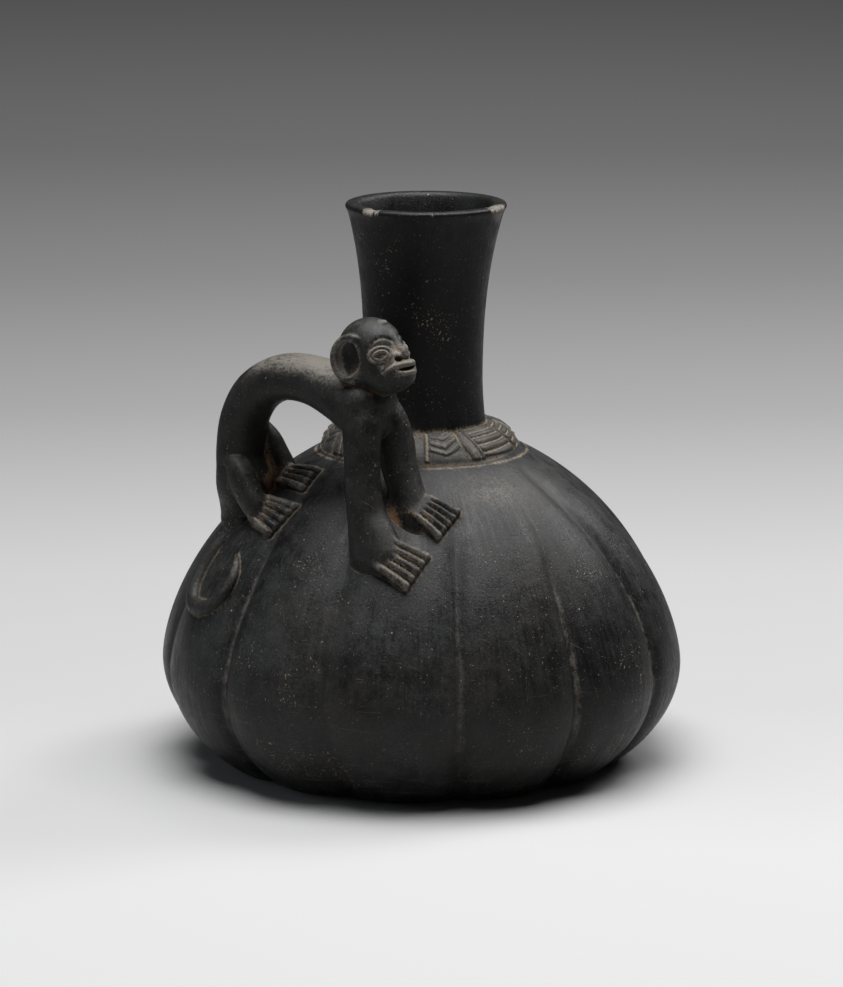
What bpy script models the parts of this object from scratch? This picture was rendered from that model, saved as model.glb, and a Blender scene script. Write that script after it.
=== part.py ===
"""Blackware jar: a lobed body, a flared neck, a knotted collar and a handle in the form of a monkey.

The jar stands on z = 0 with its axis on the Z axis. The monkey stands on the -Y side and faces +X.
Everything is one fired piece, so all the shapes are joined into one hollow solid.
"""

import math

import bmesh
import bpy
from mathutils import Vector

# Body, in metres
BODY_DIAMETER = 0.190
FOOT_DIAMETER = 0.140
SKIRT_POWER = 0.84
WIDEST_HEIGHT = 0.0365
SHOULDER_HEIGHT = 0.0867
SHOULDER_RISE_POWER = 1.64
SHOULDER_CLOSE_POWER = 0.524
WALL = 0.0052
FLOOR = 0.0065

# Lobes of the body
LOBE_COUNT = 12
LOBE_TURN = math.radians(2.2)
GROOVE_DEPTH = 0.0038
GROOVE_HALF_ANGLE = math.radians(2.6)
LOBE_SWELL_SHARE = 0.42
FOOT_GROOVE_GAIN = 0.35

# Neck and rim
NECK_DIAMETER = 0.0432
NECK_ROOT_FLARE = 0.0022
NECK_WAIST_HEIGHT = 0.1435
RIM_DIAMETER = 0.0579
RIM_HEIGHT = 0.2033
RIM_FLARE_POWER = 2.4
LIP = 0.0044
RIM_LEAN_X = 0.0013
RIM_LEAN_Y = 0.0010

# Collar of four strands round the foot of the neck, tied by four knots
COLLAR_DIAMETER = 0.0716
COLLAR_THICKNESS = 0.0044
STRAND_COUNT = 4
STRAND_RELIEF = 0.0010
KNOT_COUNT = 4
FIRST_KNOT_ANGLE = math.radians(53)
KNOT_LENGTH = 0.0150
KNOT_RELIEF = 0.0012
TIE_WIDTH = 0.0017
TIE_RELIEF = 0.0011

# Monkey handle
HANDLE_OFFSET = 0.052
HANDLE_SPAN = 0.100
HANDLE_RISE = 0.040
BACK_THICKNESS = 0.0164
BACK_WIDTH = 0.0190
LIMB_THICKNESS = 0.0125
LIMB_SPREAD = 0.0080
PAW_LENGTH = 0.0192
PAW_WIDTH = 0.0114
PAW_THICKNESS = 0.0042
FINGER_COUNT = 5
FINGER_GROOVE = 0.0012
HEAD_LENGTH = 0.0270
TAIL_WIDTH = 0.0054
TAIL_RELIEF = 0.0024

# How finely the round shapes are divided
LOBE_STEPS = (0.0, 0.09, 0.32, 0.68, 0.91)
INNER_SIDES = 28
SKIRT_STEPS = 5
SHOULDER_STEPS = 8
NECK_STEPS = 5
INNER_BODY_STEPS = 9
INNER_NECK_STEPS = 2
LIP_STEPS = 2
CREST_FLAT = 0.0002
COLLAR_STEPS = 36
LIMB_SIDES = 9
SPLINE_STEPS = 2
SINK = 0.0024
SHARP_ANGLE = math.radians(42)

# Clay, burnished nearly black
CLAY_COLOUR = (0.022, 0.021, 0.020, 1.0)
CLAY_ROUGHNESS = 0.38

BODY_RADIUS = BODY_DIAMETER / 2
FOOT_RADIUS = FOOT_DIAMETER / 2
NECK_RADIUS = NECK_DIAMETER / 2
RIM_RADIUS = RIM_DIAMETER / 2
COLLAR_RADIUS = COLLAR_DIAMETER / 2
LOBE_ANGLE = 2 * math.pi / LOBE_COUNT


def clear_scene():
    """Remove whatever objects the scene starts with."""
    for item in list(bpy.data.objects):
        bpy.data.objects.remove(item, do_unlink=True)


def skirt_radius(height):
    """Radius of the body below its widest place, close to a quarter of an ellipse."""
    share = 1 - height / WIDEST_HEIGHT
    return FOOT_RADIUS + (BODY_RADIUS - FOOT_RADIUS) * max(0.0, 1 - share * share) ** SKIRT_POWER


def shoulder_height(radius):
    """Height of the shoulder over a place at this distance from the axis."""
    share = min(1.0, radius / BODY_RADIUS) ** (1 / SHOULDER_CLOSE_POWER)
    return WIDEST_HEIGHT + SHOULDER_HEIGHT * (1 - share) ** (1 / SHOULDER_RISE_POWER)


def groove_share(angle):
    """0 on the crest of a lobe, 1 in the groove beside it."""
    off = abs(((angle - LOBE_TURN) / LOBE_ANGLE) % 1 - 0.5) * LOBE_ANGLE
    valley = math.exp(-((off / GROOVE_HALF_ANGLE) ** 2))
    swell = (1 - 2 * off / LOBE_ANGLE) ** 2
    return (1 - LOBE_SWELL_SHARE) * valley + LOBE_SWELL_SHARE * swell


def groove_fade(radius):
    """The grooves die out on the upper shoulder, under the collar."""
    start = COLLAR_RADIUS * 0.8
    return max(0.0, min(1.0, (radius - start) / (BODY_RADIUS - start) * 2.4))


def skirt_groove(height):
    """The grooves are deeper towards the foot."""
    return 1 + FOOT_GROOVE_GAIN * (1 - height / WIDEST_HEIGHT)


NECK_ROOT_HEIGHT = shoulder_height(NECK_RADIUS + NECK_ROOT_FLARE)


def neck_radius(height):
    """Outer radius of the neck, drawn in at its waist and flared to the rim."""
    if height < NECK_WAIST_HEIGHT:
        share = (NECK_WAIST_HEIGHT - height) / (NECK_WAIST_HEIGHT - NECK_ROOT_HEIGHT)
        return NECK_RADIUS + NECK_ROOT_FLARE * share * share
    share = (height - NECK_WAIST_HEIGHT) / (RIM_HEIGHT - NECK_WAIST_HEIGHT)
    return NECK_RADIUS + (RIM_RADIUS - NECK_RADIUS) * share**RIM_FLARE_POWER


def lean(height):
    """How far the neck's axis stands off the jar's axis at a height."""
    share = max(0.0, (height - NECK_ROOT_HEIGHT) / (RIM_HEIGHT - NECK_ROOT_HEIGHT))
    return RIM_LEAN_X * share, RIM_LEAN_Y * share


def ring_angles():
    """Angles round the jar, closer together at the grooves."""
    starts = [LOBE_TURN + (lobe + 0.5) * LOBE_ANGLE for lobe in range(LOBE_COUNT)]
    return [start + place * LOBE_ANGLE for start in starts for place in LOBE_STEPS]


def even_angles():
    """Angles round the inside, evenly apart."""
    return [2 * math.pi * step / INNER_SIDES for step in range(INNER_SIDES)]


def ring(mesh, angles, height, radius, groove):
    """One closed ring of points round the axis, with this share of the grooves cut in."""
    off_x, off_y = lean(height)
    made = []
    for angle in angles:
        cut = GROOVE_DEPTH * groove * groove_share(angle)
        place = (off_x + (radius - cut) * math.cos(angle), off_y + (radius - cut) * math.sin(angle), height)
        made.append(mesh.verts.new(place))
    return made


def bridge(mesh, lower, upper):
    """Faces between two rings of the same count, facing out when the rings run up the outside."""
    count = len(lower)
    for index in range(count):
        after = (index + 1) % count
        mesh.faces.new((lower[index], lower[after], upper[after], upper[index]))


def outer_stations():
    """Height, radius and share of groove of each ring of the outside, from the foot to the lip."""
    stations = []
    for step in range(SKIRT_STEPS):
        height = WIDEST_HEIGHT * (step / SKIRT_STEPS) ** 1.5
        stations.append((height, skirt_radius(height), skirt_groove(height)))
    top = NECK_RADIUS + NECK_ROOT_FLARE
    for step in range(SHOULDER_STEPS):
        turn = step / SHOULDER_STEPS * math.pi / 2
        radius = top + (BODY_RADIUS - top) * math.cos(turn)
        stations.append((shoulder_height(radius), radius, groove_fade(radius)))
    lip_start = RIM_HEIGHT - LIP / 2
    for step in range(NECK_STEPS + 1):
        height = NECK_ROOT_HEIGHT + (lip_start - NECK_ROOT_HEIGHT) * step / NECK_STEPS
        stations.append((height, neck_radius(height), 0.0))
    return stations


def lip_stations():
    """The outer half of the rounded lip, up to its crest."""
    middle = RIM_RADIUS - LIP / 2
    stations = []
    for step in range(1, LIP_STEPS + 1):
        turn = math.pi / 2 * step / LIP_STEPS
        height = RIM_HEIGHT - LIP / 2 + LIP / 2 * math.sin(turn)
        stations.append((height, middle + LIP / 2 * math.cos(turn), 0.0))
    return stations


def hollow_stations():
    """The inside, from the floor up round the body, through the neck and over the inner lip."""
    stations = [(FLOOR, (FOOT_RADIUS - WALL) * 0.94, 0.0)]
    throat = NECK_RADIUS + NECK_ROOT_FLARE - WALL
    cover = WALL + GROOVE_DEPTH / 2
    widest = BODY_RADIUS - cover
    inner_foot = FOOT_RADIUS - cover
    for step in range(1, INNER_BODY_STEPS):
        turn = step / INNER_BODY_STEPS * math.pi
        if turn < math.pi / 2:
            radius = inner_foot + (widest - inner_foot) * math.sin(turn)
            share = (radius - inner_foot) / (widest - inner_foot)
            height = WIDEST_HEIGHT - (WIDEST_HEIGHT - FLOOR) * math.sqrt(1 - share ** (1 / SKIRT_POWER))
        else:
            radius = throat + (widest - throat) * math.sin(turn)
            share = (radius / widest) ** (1 / SHOULDER_CLOSE_POWER)
            rise = (SHOULDER_HEIGHT - cover) * (1 - share) ** (1 / SHOULDER_RISE_POWER)
            height = WIDEST_HEIGHT + rise
        stations.append((height, radius, 0.0))
    top = RIM_HEIGHT - LIP / 2
    root = NECK_ROOT_HEIGHT - WALL
    for step in range(INNER_NECK_STEPS + 1):
        share = step / INNER_NECK_STEPS
        height = root + (top - root) * share
        thickness = WALL + (LIP - WALL) * share
        stations.append((height, neck_radius(max(height, NECK_ROOT_HEIGHT)) - thickness, 0.0))
    middle = RIM_RADIUS - LIP / 2
    for step in range(1, LIP_STEPS):
        turn = math.pi / 2 * step / LIP_STEPS
        height = top + LIP / 2 * math.sin(turn)
        stations.append((height, middle - LIP / 2 * math.cos(turn), 0.0))
    stations.append((RIM_HEIGHT, middle - CREST_FLAT, 0.0))
    stations.append((RIM_HEIGHT + LIP, middle, 0.0))
    return stations


def turned(name, stations, angles):
    """A closed solid of rings, each given by its height, radius and share of the grooves' depth."""
    mesh = bmesh.new()
    rings = [ring(mesh, angles, *station) for station in stations]
    for lower, upper in zip(rings, rings[1:]):
        bridge(mesh, lower, upper)
    mesh.faces.new(list(reversed(rings[0])))
    mesh.faces.new(rings[-1])
    return finish_mesh(mesh, name)


def finish_mesh(mesh, name):
    """Turn a bmesh into an object with its faces pointing out, shaded smooth."""
    bmesh.ops.recalc_face_normals(mesh, faces=mesh.faces)
    data = bpy.data.meshes.new(name)
    mesh.to_mesh(data)
    mesh.free()
    data.shade_smooth()
    item = bpy.data.objects.new(name, data)
    bpy.context.scene.collection.objects.link(item)
    return item


def smooth_path(points, steps):
    """A smooth curve through the points, each a tuple of numbers, by Catmull-Rom pieces."""
    made = []
    last = len(points) - 1
    for index in range(last):
        before = points[max(0, index - 1)]
        start = points[index]
        end = points[index + 1]
        after = points[min(last, index + 2)]
        for step in range(steps):
            t = step / steps
            made.append(
                tuple(
                    0.5
                    * (
                        2 * b
                        + (c - a) * t
                        + (2 * a - 5 * b + 4 * c - d) * t * t
                        + (3 * b - a - 3 * c + d) * t * t * t
                    )
                    for a, b, c, d in zip(before, start, end, after)
                )
            )
    made.append(tuple(points[last]))
    return made


def tube(name, stations, side, sides=LIMB_SIDES, power=2.4, steps=SPLINE_STEPS):
    """A closed limb through stations of (x, y, z, thickness, width), the width lying along side."""
    mesh = bmesh.new()
    path = smooth_path(stations, steps)
    rings = []
    for index, station in enumerate(path):
        place = Vector(station[:3])
        before = Vector(path[max(0, index - 1)][:3])
        after = Vector(path[min(len(path) - 1, index + 1)][:3])
        along = (after - before).normalized()
        across = (side - along * side.dot(along)).normalized()
        out = along.cross(across)
        made = []
        for step in range(sides):
            turn = 2 * math.pi * step / sides
            c = math.copysign(abs(math.cos(turn)) ** (2 / power), math.cos(turn))
            s = math.copysign(abs(math.sin(turn)) ** (2 / power), math.sin(turn))
            made.append(mesh.verts.new(place + across * c * station[4] / 2 + out * s * station[3] / 2))
        rings.append(made)
    for lower, upper in zip(rings, rings[1:]):
        bridge(mesh, lower, upper)
    mesh.faces.new(list(reversed(rings[0])))
    mesh.faces.new(rings[-1])
    return finish_mesh(mesh, name)


def on_shoulder(x, y, lift=0.0):
    """The point of the shoulder over a place in plan, raised by lift along the surface's normal."""
    angle = math.atan2(y, x)
    distance = math.hypot(x, y)
    cut = GROOVE_DEPTH * groove_fade(distance) * groove_share(angle)
    point = Vector((x, y, shoulder_height(distance + cut)))
    return point + shoulder_normal(x, y) * lift


def shoulder_normal(x, y):
    """Direction straight out of the shoulder over a place in plan."""
    reach = 0.001
    distance = math.hypot(x, y)
    fall = shoulder_height(distance + reach) - shoulder_height(distance - reach)
    return Vector((-fall * x / distance, -fall * y / distance, 2 * reach)).normalized()


# The monkey's own measures: along the handle, across it and up from its stance on the shoulder
STANCE_HEIGHT = shoulder_height(HANDLE_OFFSET)


def figure(along, across, up):
    """A place on the monkey, from shares of the handle's span, its half spread and its rise."""
    return (
        along * HANDLE_SPAN,
        -HANDLE_OFFSET - across * LIMB_SPREAD,
        STANCE_HEIGHT + up * HANDLE_RISE,
    )


def rooted(along, across, depth):
    """A place in plan on the monkey's stance, sunk into the wall by depth."""
    return tuple(on_shoulder(along * HANDLE_SPAN, -HANDLE_OFFSET - across * LIMB_SPREAD, -depth))


def build_back():
    """The arched back, from the tail up and over to the chest."""
    thick = BACK_THICKNESS
    wide = BACK_WIDTH
    stations = [
        rooted(-0.385, 0.0, SINK) + (1.25 * thick, 1.22 * wide),
        figure(-0.406, 0.0, 0.02) + (1.10 * thick, 1.12 * wide),
        figure(-0.414, 0.0, 0.28) + (0.96 * thick, wide),
        figure(-0.394, 0.0, 0.58) + (0.95 * thick, 0.98 * wide),
        figure(-0.325, 0.0, 0.84) + (0.97 * thick, 0.98 * wide),
        figure(-0.210, 0.0, 0.985) + (thick, wide),
        figure(-0.070, 0.0, 0.985) + (1.05 * thick, 1.02 * wide),
        figure(0.060, 0.0, 0.885) + (1.18 * thick, 1.12 * wide),
        figure(0.165, 0.0, 0.740) + (1.20 * thick, 1.22 * wide),
        figure(0.215, 0.0, 0.660) + (0.80 * thick, 1.10 * wide),
    ]
    return tube("back", stations, Vector((0, 1, 0)), sides=12)


def build_arm(side):
    """An arm, from the shoulder straight down to the wrist. The near side is +1."""
    thick = LIMB_THICKNESS
    forward = 0.0 if side > 0 else 0.045
    stations = [
        figure(0.150, 0.50 * side, 0.88) + (0.80 * thick, 0.70 * thick),
        figure(0.182 + forward * 0.6, 0.76 * side, 0.72) + (1.02 * thick, 0.90 * thick),
        figure(0.193 + forward, 0.94 * side, 0.42) + (0.98 * thick, 0.92 * thick),
        figure(0.205 + forward * 1.1, 1.02 * side, 0.08) + (1.00 * thick, 0.96 * thick),
        figure(0.230 + forward * 1.1, 1.08 * side, -0.14) + (1.22 * thick, 1.02 * thick),
        rooted(0.262 + forward, 1.12 * side, 0.0010) + (1.42 * thick, 1.06 * thick),
        rooted(0.270 + forward, 1.14 * side, SINK) + (1.35 * thick, 1.00 * thick),
    ]
    return tube("arm", stations, Vector((0, 1, 0)), sides=LIMB_SIDES)


def build_leg(side):
    """A bent hind leg, from the raised knee on the flank down to the ankle."""
    thick = LIMB_THICKNESS
    stations = [
        figure(-0.425, 0.70 * side, 0.10) + (0.70 * thick, 0.62 * thick),
        figure(-0.398, 0.86 * side, 0.23) + (0.96 * thick, 0.80 * thick),
        figure(-0.352, 0.98 * side, 0.12) + (0.92 * thick, 0.84 * thick),
        figure(-0.305, 1.02 * side, -0.06) + (0.86 * thick, 0.86 * thick),
        rooted(-0.262, 1.05 * side, 0.0002) + (0.84 * thick, 0.88 * thick),
        rooted(-0.225, 1.05 * side, SINK) + (0.72 * thick, 0.84 * thick),
    ]
    return tube("leg", stations, Vector((0, 1, 0)), sides=LIMB_SIDES)


def paw_height(share_along, share_across):
    """Thickness of a paw: a plump heel, then fingers parted by grooves, thinner at the tips."""
    edge = 1 - abs(share_across) ** 4 * 0.35
    fall = 1.0 if share_along < 0.45 else 1 - 0.42 * ((share_along - 0.45) / 0.55) ** 1.5
    height = PAW_THICKNESS * edge * fall
    if share_along > 0.40:
        turn = (share_across + 1) * math.pi * FINGER_COUNT
        height -= FINGER_GROOVE * (0.5 + 0.5 * math.cos(turn)) ** 2 * (1 - abs(share_across) ** 8)
    return height


def build_paw(name, heel, tip, width):
    """A flat paw lying on the shoulder from heel to tip, both places in plan, with carved fingers."""
    mesh = bmesh.new()
    heel = Vector((heel[0], heel[1], 0))
    tip = Vector((tip[0], tip[1], 0))
    ahead = tip - heel
    aside = Vector((-ahead.y, ahead.x, 0)).normalized()
    columns = 2 * FINGER_COUNT
    rings = []
    for along in (0.0, 0.30, 0.46, 0.80, 0.97, 1.0):
        spread = 1.22 - 0.20 * along
        made = []
        for step in range(columns + 1):
            across = 2 * step / columns - 1
            place = heel + ahead * along + aside * across * width / 2 * spread
            height = paw_height(along, across)
            if along == 0.0 or along == 1.0 or step in (0, columns):
                height *= 0.72
            made.append(mesh.verts.new(on_shoulder(place.x, place.y, height)))
        for step in (columns, columns // 2, 0):
            across = 2 * step / columns - 1
            place = heel + ahead * along + aside * across * width / 2 * spread
            made.append(mesh.verts.new(on_shoulder(place.x, place.y, -SINK / 2)))
        rings.append(made)
    for lower, upper in zip(rings, rings[1:]):
        bridge(mesh, lower, upper)
    mesh.faces.new(list(reversed(rings[0])))
    mesh.faces.new(rings[-1])
    return finish_mesh(mesh, name)


def plan(along, across):
    """A place in plan on the monkey's stance."""
    return along * HANDLE_SPAN, -HANDLE_OFFSET - across * LIMB_SPREAD


def build_paws():
    """Two hands and two feet, placed by their heels and pointing forward and a little out."""
    places = (
        ("hand_near", 0.255, 1.35, -5.7),
        ("hand_far", 0.265, -0.81, -4.7),
        ("foot_near", -0.315, 0.36, 32.0),
        ("foot_far", -0.320, -1.35, 15.0),
    )
    paws = []
    for name, along, across, splay in places:
        heel = plan(along, across)
        turn = math.radians(-splay)
        tip = (heel[0] + PAW_LENGTH * math.cos(turn), heel[1] + PAW_LENGTH * math.sin(turn))
        paws.append(build_paw(name, heel, tip, PAW_WIDTH))
    return paws


def ellipsoid(name, centre, radii, segments=16, rings=10, turn_about_y=0.0):
    """A closed ellipsoid, its radii along X, Y and Z, tipped about Y."""
    mesh = bmesh.new()
    bmesh.ops.create_uvsphere(mesh, u_segments=segments, v_segments=rings, radius=1.0)
    c = math.cos(turn_about_y)
    s = math.sin(turn_about_y)
    for vert in mesh.verts:
        x, y, z = (value * radius for value, radius in zip(vert.co, radii))
        vert.co = Vector(centre) + Vector((x * c + z * s, y, z * c - x * s))
    return finish_mesh(mesh, name)


HEAD_PLACE = Vector(figure(0.184, 0.0, 1.275))


def on_head(forward, right, up):
    """A place on the head, from shares of its length forward, to its right side and up."""
    return HEAD_PLACE + Vector((forward, -right, up)) * HEAD_LENGTH


def head_ball(name, place, radii, segments=12, rings=8, tip=0.0):
    """One rounded mass of the head, its radii as shares of the head's length."""
    sizes = tuple(radius * HEAD_LENGTH for radius in radii)
    return ellipsoid(name, on_head(*place), sizes, segments, rings, math.radians(tip))


def build_ear(side):
    """A cupped ear, a thick curled rim on the side of the head."""
    stations = []
    width = 0.085 * HEAD_LENGTH
    for step in range(9):
        turn = math.radians(-25 + 250 * step / 8)
        forward = -0.10 + 0.17 * math.cos(turn)
        up = 0.27 * math.sin(turn)
        right = side * (0.40 - 0.05 * math.cos(turn) - 0.04 * abs(math.sin(turn)))
        stations.append(tuple(on_head(forward, right, up)) + (2.0 * width, 1.5 * width))
    return tube("ear", stations, Vector((0.25, -side, 0.1)), sides=6, power=2.0, steps=1)


def build_head():
    """Skull, brow, eyes, nose, muzzle, lips, jaw and ears."""
    masses = [
        head_ball("skull", (-0.06, 0.0, 0.09), (0.44, 0.39, 0.41), 12, 8),
        head_ball("face", (0.18, 0.0, -0.09), (0.34, 0.34, 0.33), 12, 7),
        head_ball("jaw", (0.22, 0.0, -0.27), (0.34, 0.27, 0.20), 10, 5, -6),
        head_ball("upper_lip", (0.46, 0.0, -0.10), (0.22, 0.22, 0.095), 9, 5, 10),
        head_ball("lower_lip", (0.45, 0.0, -0.23), (0.20, 0.20, 0.080), 9, 5, -6),
        head_ball("nose", (0.41, 0.0, 0.07), (0.19, 0.095, 0.13), 7, 5, 40),
        head_ball("crest", (-0.02, 0.0, 0.48), (0.08, 0.06, 0.06), 6, 4),
        head_ball("nape", (-0.16, 0.0, -0.20), (0.30, 0.33, 0.28), 8, 4),
    ]
    for side in (1, -1):
        masses.append(head_ball("brow", (0.235, 0.17 * side, 0.19), (0.125, 0.19, 0.07), 7, 4, -20))
        masses.append(head_ball("eye", (0.295, 0.21 * side, 0.05), (0.08, 0.12, 0.085), 7, 5))
        masses.append(head_ball("ear_cup", (-0.12, 0.36 * side, 0.0), (0.17, 0.08, 0.26), 8, 5))
        masses.append(build_ear(side))
    return masses


def build_tail():
    """The tail, laid on the shoulder in a hook beside the feet."""
    route = (
        (-0.470, 0.10),
        (-0.520, 0.85),
        (-0.525, 1.65),
        (-0.508, 2.45),
        (-0.455, 3.20),
        (-0.385, 3.46),
        (-0.315, 3.25),
        (-0.285, 2.85),
        (-0.285, 2.30),
    )
    stations = []
    for index, (along, across) in enumerate(route):
        x, y = plan(along, across)
        share = index / (len(route) - 1)
        width = TAIL_WIDTH * (1.25 - 0.70 * share)
        relief = TAIL_RELIEF * (1.10 - 0.55 * share)
        stations.append(tuple(on_shoulder(x, y, relief - width / 2)) + (width, width))
    return tube("tail", stations, Vector((0.3, -0.5, 0.9)), sides=6, power=2.0, steps=2)


def collar_section():
    """The collar's section, as (distance from the axis, height above the shoulder, strand share)."""
    inner = NECK_RADIUS - WALL * 0.3
    outer = COLLAR_RADIUS
    columns = 2 * STRAND_COUNT
    section = [(inner, -SINK * 0.5, 0.0)]
    for step in range(columns + 1):
        share = step / columns
        radius = inner + WALL * 0.9 + (outer - inner - WALL * 0.9) * share
        lift = COLLAR_THICKNESS * math.sin(math.pi * (0.26 + 0.56 * share)) ** 0.6
        section.append((radius, lift, 1.0 if step % 2 else -1.0))
    section.append((outer + COLLAR_THICKNESS * 0.16, -SINK * 0.5, 0.0))
    return section


def build_collar():
    """A ring of four strands sitting in the angle between shoulder and neck."""
    mesh = bmesh.new()
    loops = []
    for step in range(COLLAR_STEPS):
        angle = 2 * math.pi * step / COLLAR_STEPS
        made = []
        for radius, lift, strand in collar_section():
            x = radius * math.cos(angle)
            y = radius * math.sin(angle)
            made.append(mesh.verts.new(on_shoulder(x, y, lift + 0.5 * STRAND_RELIEF * strand)))
        loops.append(made)
    for index, loop in enumerate(loops):
        bridge(mesh, loop, loops[(index + 1) % len(loops)])
    return finish_mesh(mesh, "collar")


def build_tie(name, start, end, width, relief):
    """A narrow bar over the collar, from one place to another, each an angle and a share across."""
    inner = NECK_RADIUS + WALL * 0.55
    outer = COLLAR_RADIUS + COLLAR_THICKNESS * 0.05
    stations = []
    for step in range(3):
        share = step / 2
        angle = start[0] + (end[0] - start[0]) * share
        across = start[1] + (end[1] - start[1]) * share
        radius = inner + (outer - inner) * across
        lift = COLLAR_THICKNESS * math.sin(math.pi * (0.30 + 0.52 * across)) ** 0.6 + relief - width * 0.6
        place = on_shoulder(radius * math.cos(angle), radius * math.sin(angle), lift)
        stations.append(tuple(place) + (width * 1.2, width))
    side = Vector((-math.sin(start[0]), math.cos(start[0]), 0))
    return tube(name, stations, side, sides=5, power=2.0, steps=1)


def build_knots():
    """Four knots: a plump pad with a loose end, and the tie bars beside it."""
    made = []
    middle = (NECK_RADIUS + COLLAR_RADIUS) / 2
    half = KNOT_LENGTH / 2 / middle
    for index in range(KNOT_COUNT):
        centre = FIRST_KNOT_ANGLE + index * 2 * math.pi / KNOT_COUNT
        stations = []
        for step in range(5):
            share = step / 4
            angle = centre + half * (2 * share - 1) * 0.86
            swell = math.sin(math.pi * (0.2 + 0.6 * share))
            radius = middle + COLLAR_THICKNESS * (0.35 + 0.35 * swell)
            lift = COLLAR_THICKNESS * 0.55 + KNOT_RELIEF * 0.4
            place = on_shoulder(radius * math.cos(angle), radius * math.sin(angle), lift)
            height = COLLAR_THICKNESS + KNOT_RELIEF
            stations.append(tuple(place) + (height, (COLLAR_RADIUS - NECK_RADIUS) * (0.78 + 0.26 * swell)))
        side = Vector((math.cos(centre), math.sin(centre), -0.35))
        made.append(tube("knot", stations, side, sides=8, power=3.0, steps=1))
        for offset, slant in ((-half * 1.05, 0.0), (half * 1.15, 0.45 * half), (half * 1.75, 0.45 * half)):
            start = (centre + offset - slant * 0.5, 0.0)
            end = (centre + offset + slant, 1.0)
            made.append(build_tie("tie", start, end, TIE_WIDTH, TIE_RELIEF))
    return made


def clay():
    """The one finish of the part."""
    material = bpy.data.materials.new("burnished_blackware")
    material.use_nodes = True
    shader = material.node_tree.nodes["Principled BSDF"]
    shader.inputs["Base Color"].default_value = CLAY_COLOUR
    shader.inputs["Roughness"].default_value = CLAY_ROUGHNESS
    shader.inputs["Metallic"].default_value = 0.0
    material.diffuse_color = CLAY_COLOUR
    return material


def set_aside(item, store):
    """Keep a shape as a helper of the union, out of the render."""
    for home in list(item.users_collection):
        home.objects.unlink(item)
    store.objects.link(item)
    item.hide_render = True
    item.display_type = "WIRE"


def shells_of(mesh):
    """The separate shells of a mesh, each a list of faces, parted also where they only touch along an edge."""
    left = set(mesh.faces)
    shells = []
    while left:
        edge_of_front = [left.pop()]
        shell = []
        while edge_of_front:
            face = edge_of_front.pop()
            shell.append(face)
            for edge in face.edges:
                if len(edge.link_faces) != 2:
                    continue
                for neighbour in edge.link_faces:
                    if neighbour in left:
                        left.remove(neighbour)
                        edge_of_front.append(neighbour)
        shells.append(shell)
    return shells


def signed_volume(shell):
    """Volume inside a shell, below zero where its faces look inward, as round a pocket."""
    total = 0.0
    near = shell[0].verts[0].co
    for face in shell:
        corners = [vert.co - near for vert in face.verts]
        for second, third in zip(corners[1:], corners[2:]):
            total += corners[0].dot(second.cross(third)) / 6
    return total


def fill_pockets(item):
    """Keep the joined shape as its own mesh, with clay in the pockets sealed between the masses."""
    graph = bpy.context.evaluated_depsgraph_get()
    data = bpy.data.meshes.new_from_object(item.evaluated_get(graph))
    mesh = bmesh.new()
    mesh.from_mesh(data)
    bmesh.ops.triangulate(mesh, faces=mesh.faces)
    pockets = [face for shell in shells_of(mesh) if signed_volume(shell) < 0 for face in shell]
    bmesh.ops.delete(mesh, geom=pockets, context="FACES")
    mesh.to_mesh(data)
    mesh.free()
    item.modifiers.clear()
    item.data = data
    data.set_sharp_from_angle(angle=SHARP_ANGLE)


def main():
    """Join every mass of clay to the full body, then hollow it, as one solid."""
    clear_scene()
    jar = turned("jar", outer_stations() + lip_stations(), ring_angles())
    masses = [build_back(), build_tail(), build_collar()]
    masses += [build_arm(side) for side in (1, -1)]
    masses += [build_leg(side) for side in (1, -1)]
    masses += build_paws()
    masses += build_head()
    masses += build_knots()
    store = bpy.data.collections.new("clay_masses")
    bpy.context.scene.collection.children.link(store)
    for mass in masses:
        set_aside(mass, store)
    hollow = turned("hollow", hollow_stations(), even_angles())
    hollow.hide_render = True
    hollow.display_type = "WIRE"
    jar.data.materials.append(clay())
    joined = jar.modifiers.new("join", "BOOLEAN")
    joined.operation = "UNION"
    joined.solver = "EXACT"
    joined.operand_type = "COLLECTION"
    joined.collection = store
    joined.use_self = True
    emptied = jar.modifiers.new("hollow", "BOOLEAN")
    emptied.operation = "DIFFERENCE"
    emptied.solver = "EXACT"
    emptied.object = hollow
    fill_pockets(jar)


main()
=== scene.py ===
"""Looks of a blackware jar with a monkey handle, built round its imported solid.

Sizes are in millimetres until a mesh is made. The jar stands on z = 0 with its axis on Z. The monkey
is on the -Y side and faces +X. Four pieces are made: the turned jar, the carved collar, and the
modelled monkey in two pieces, its body and its head.
"""

import enum
import logging
import math
from dataclasses import dataclass
from typing import Any, Protocol, Sequence

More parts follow.
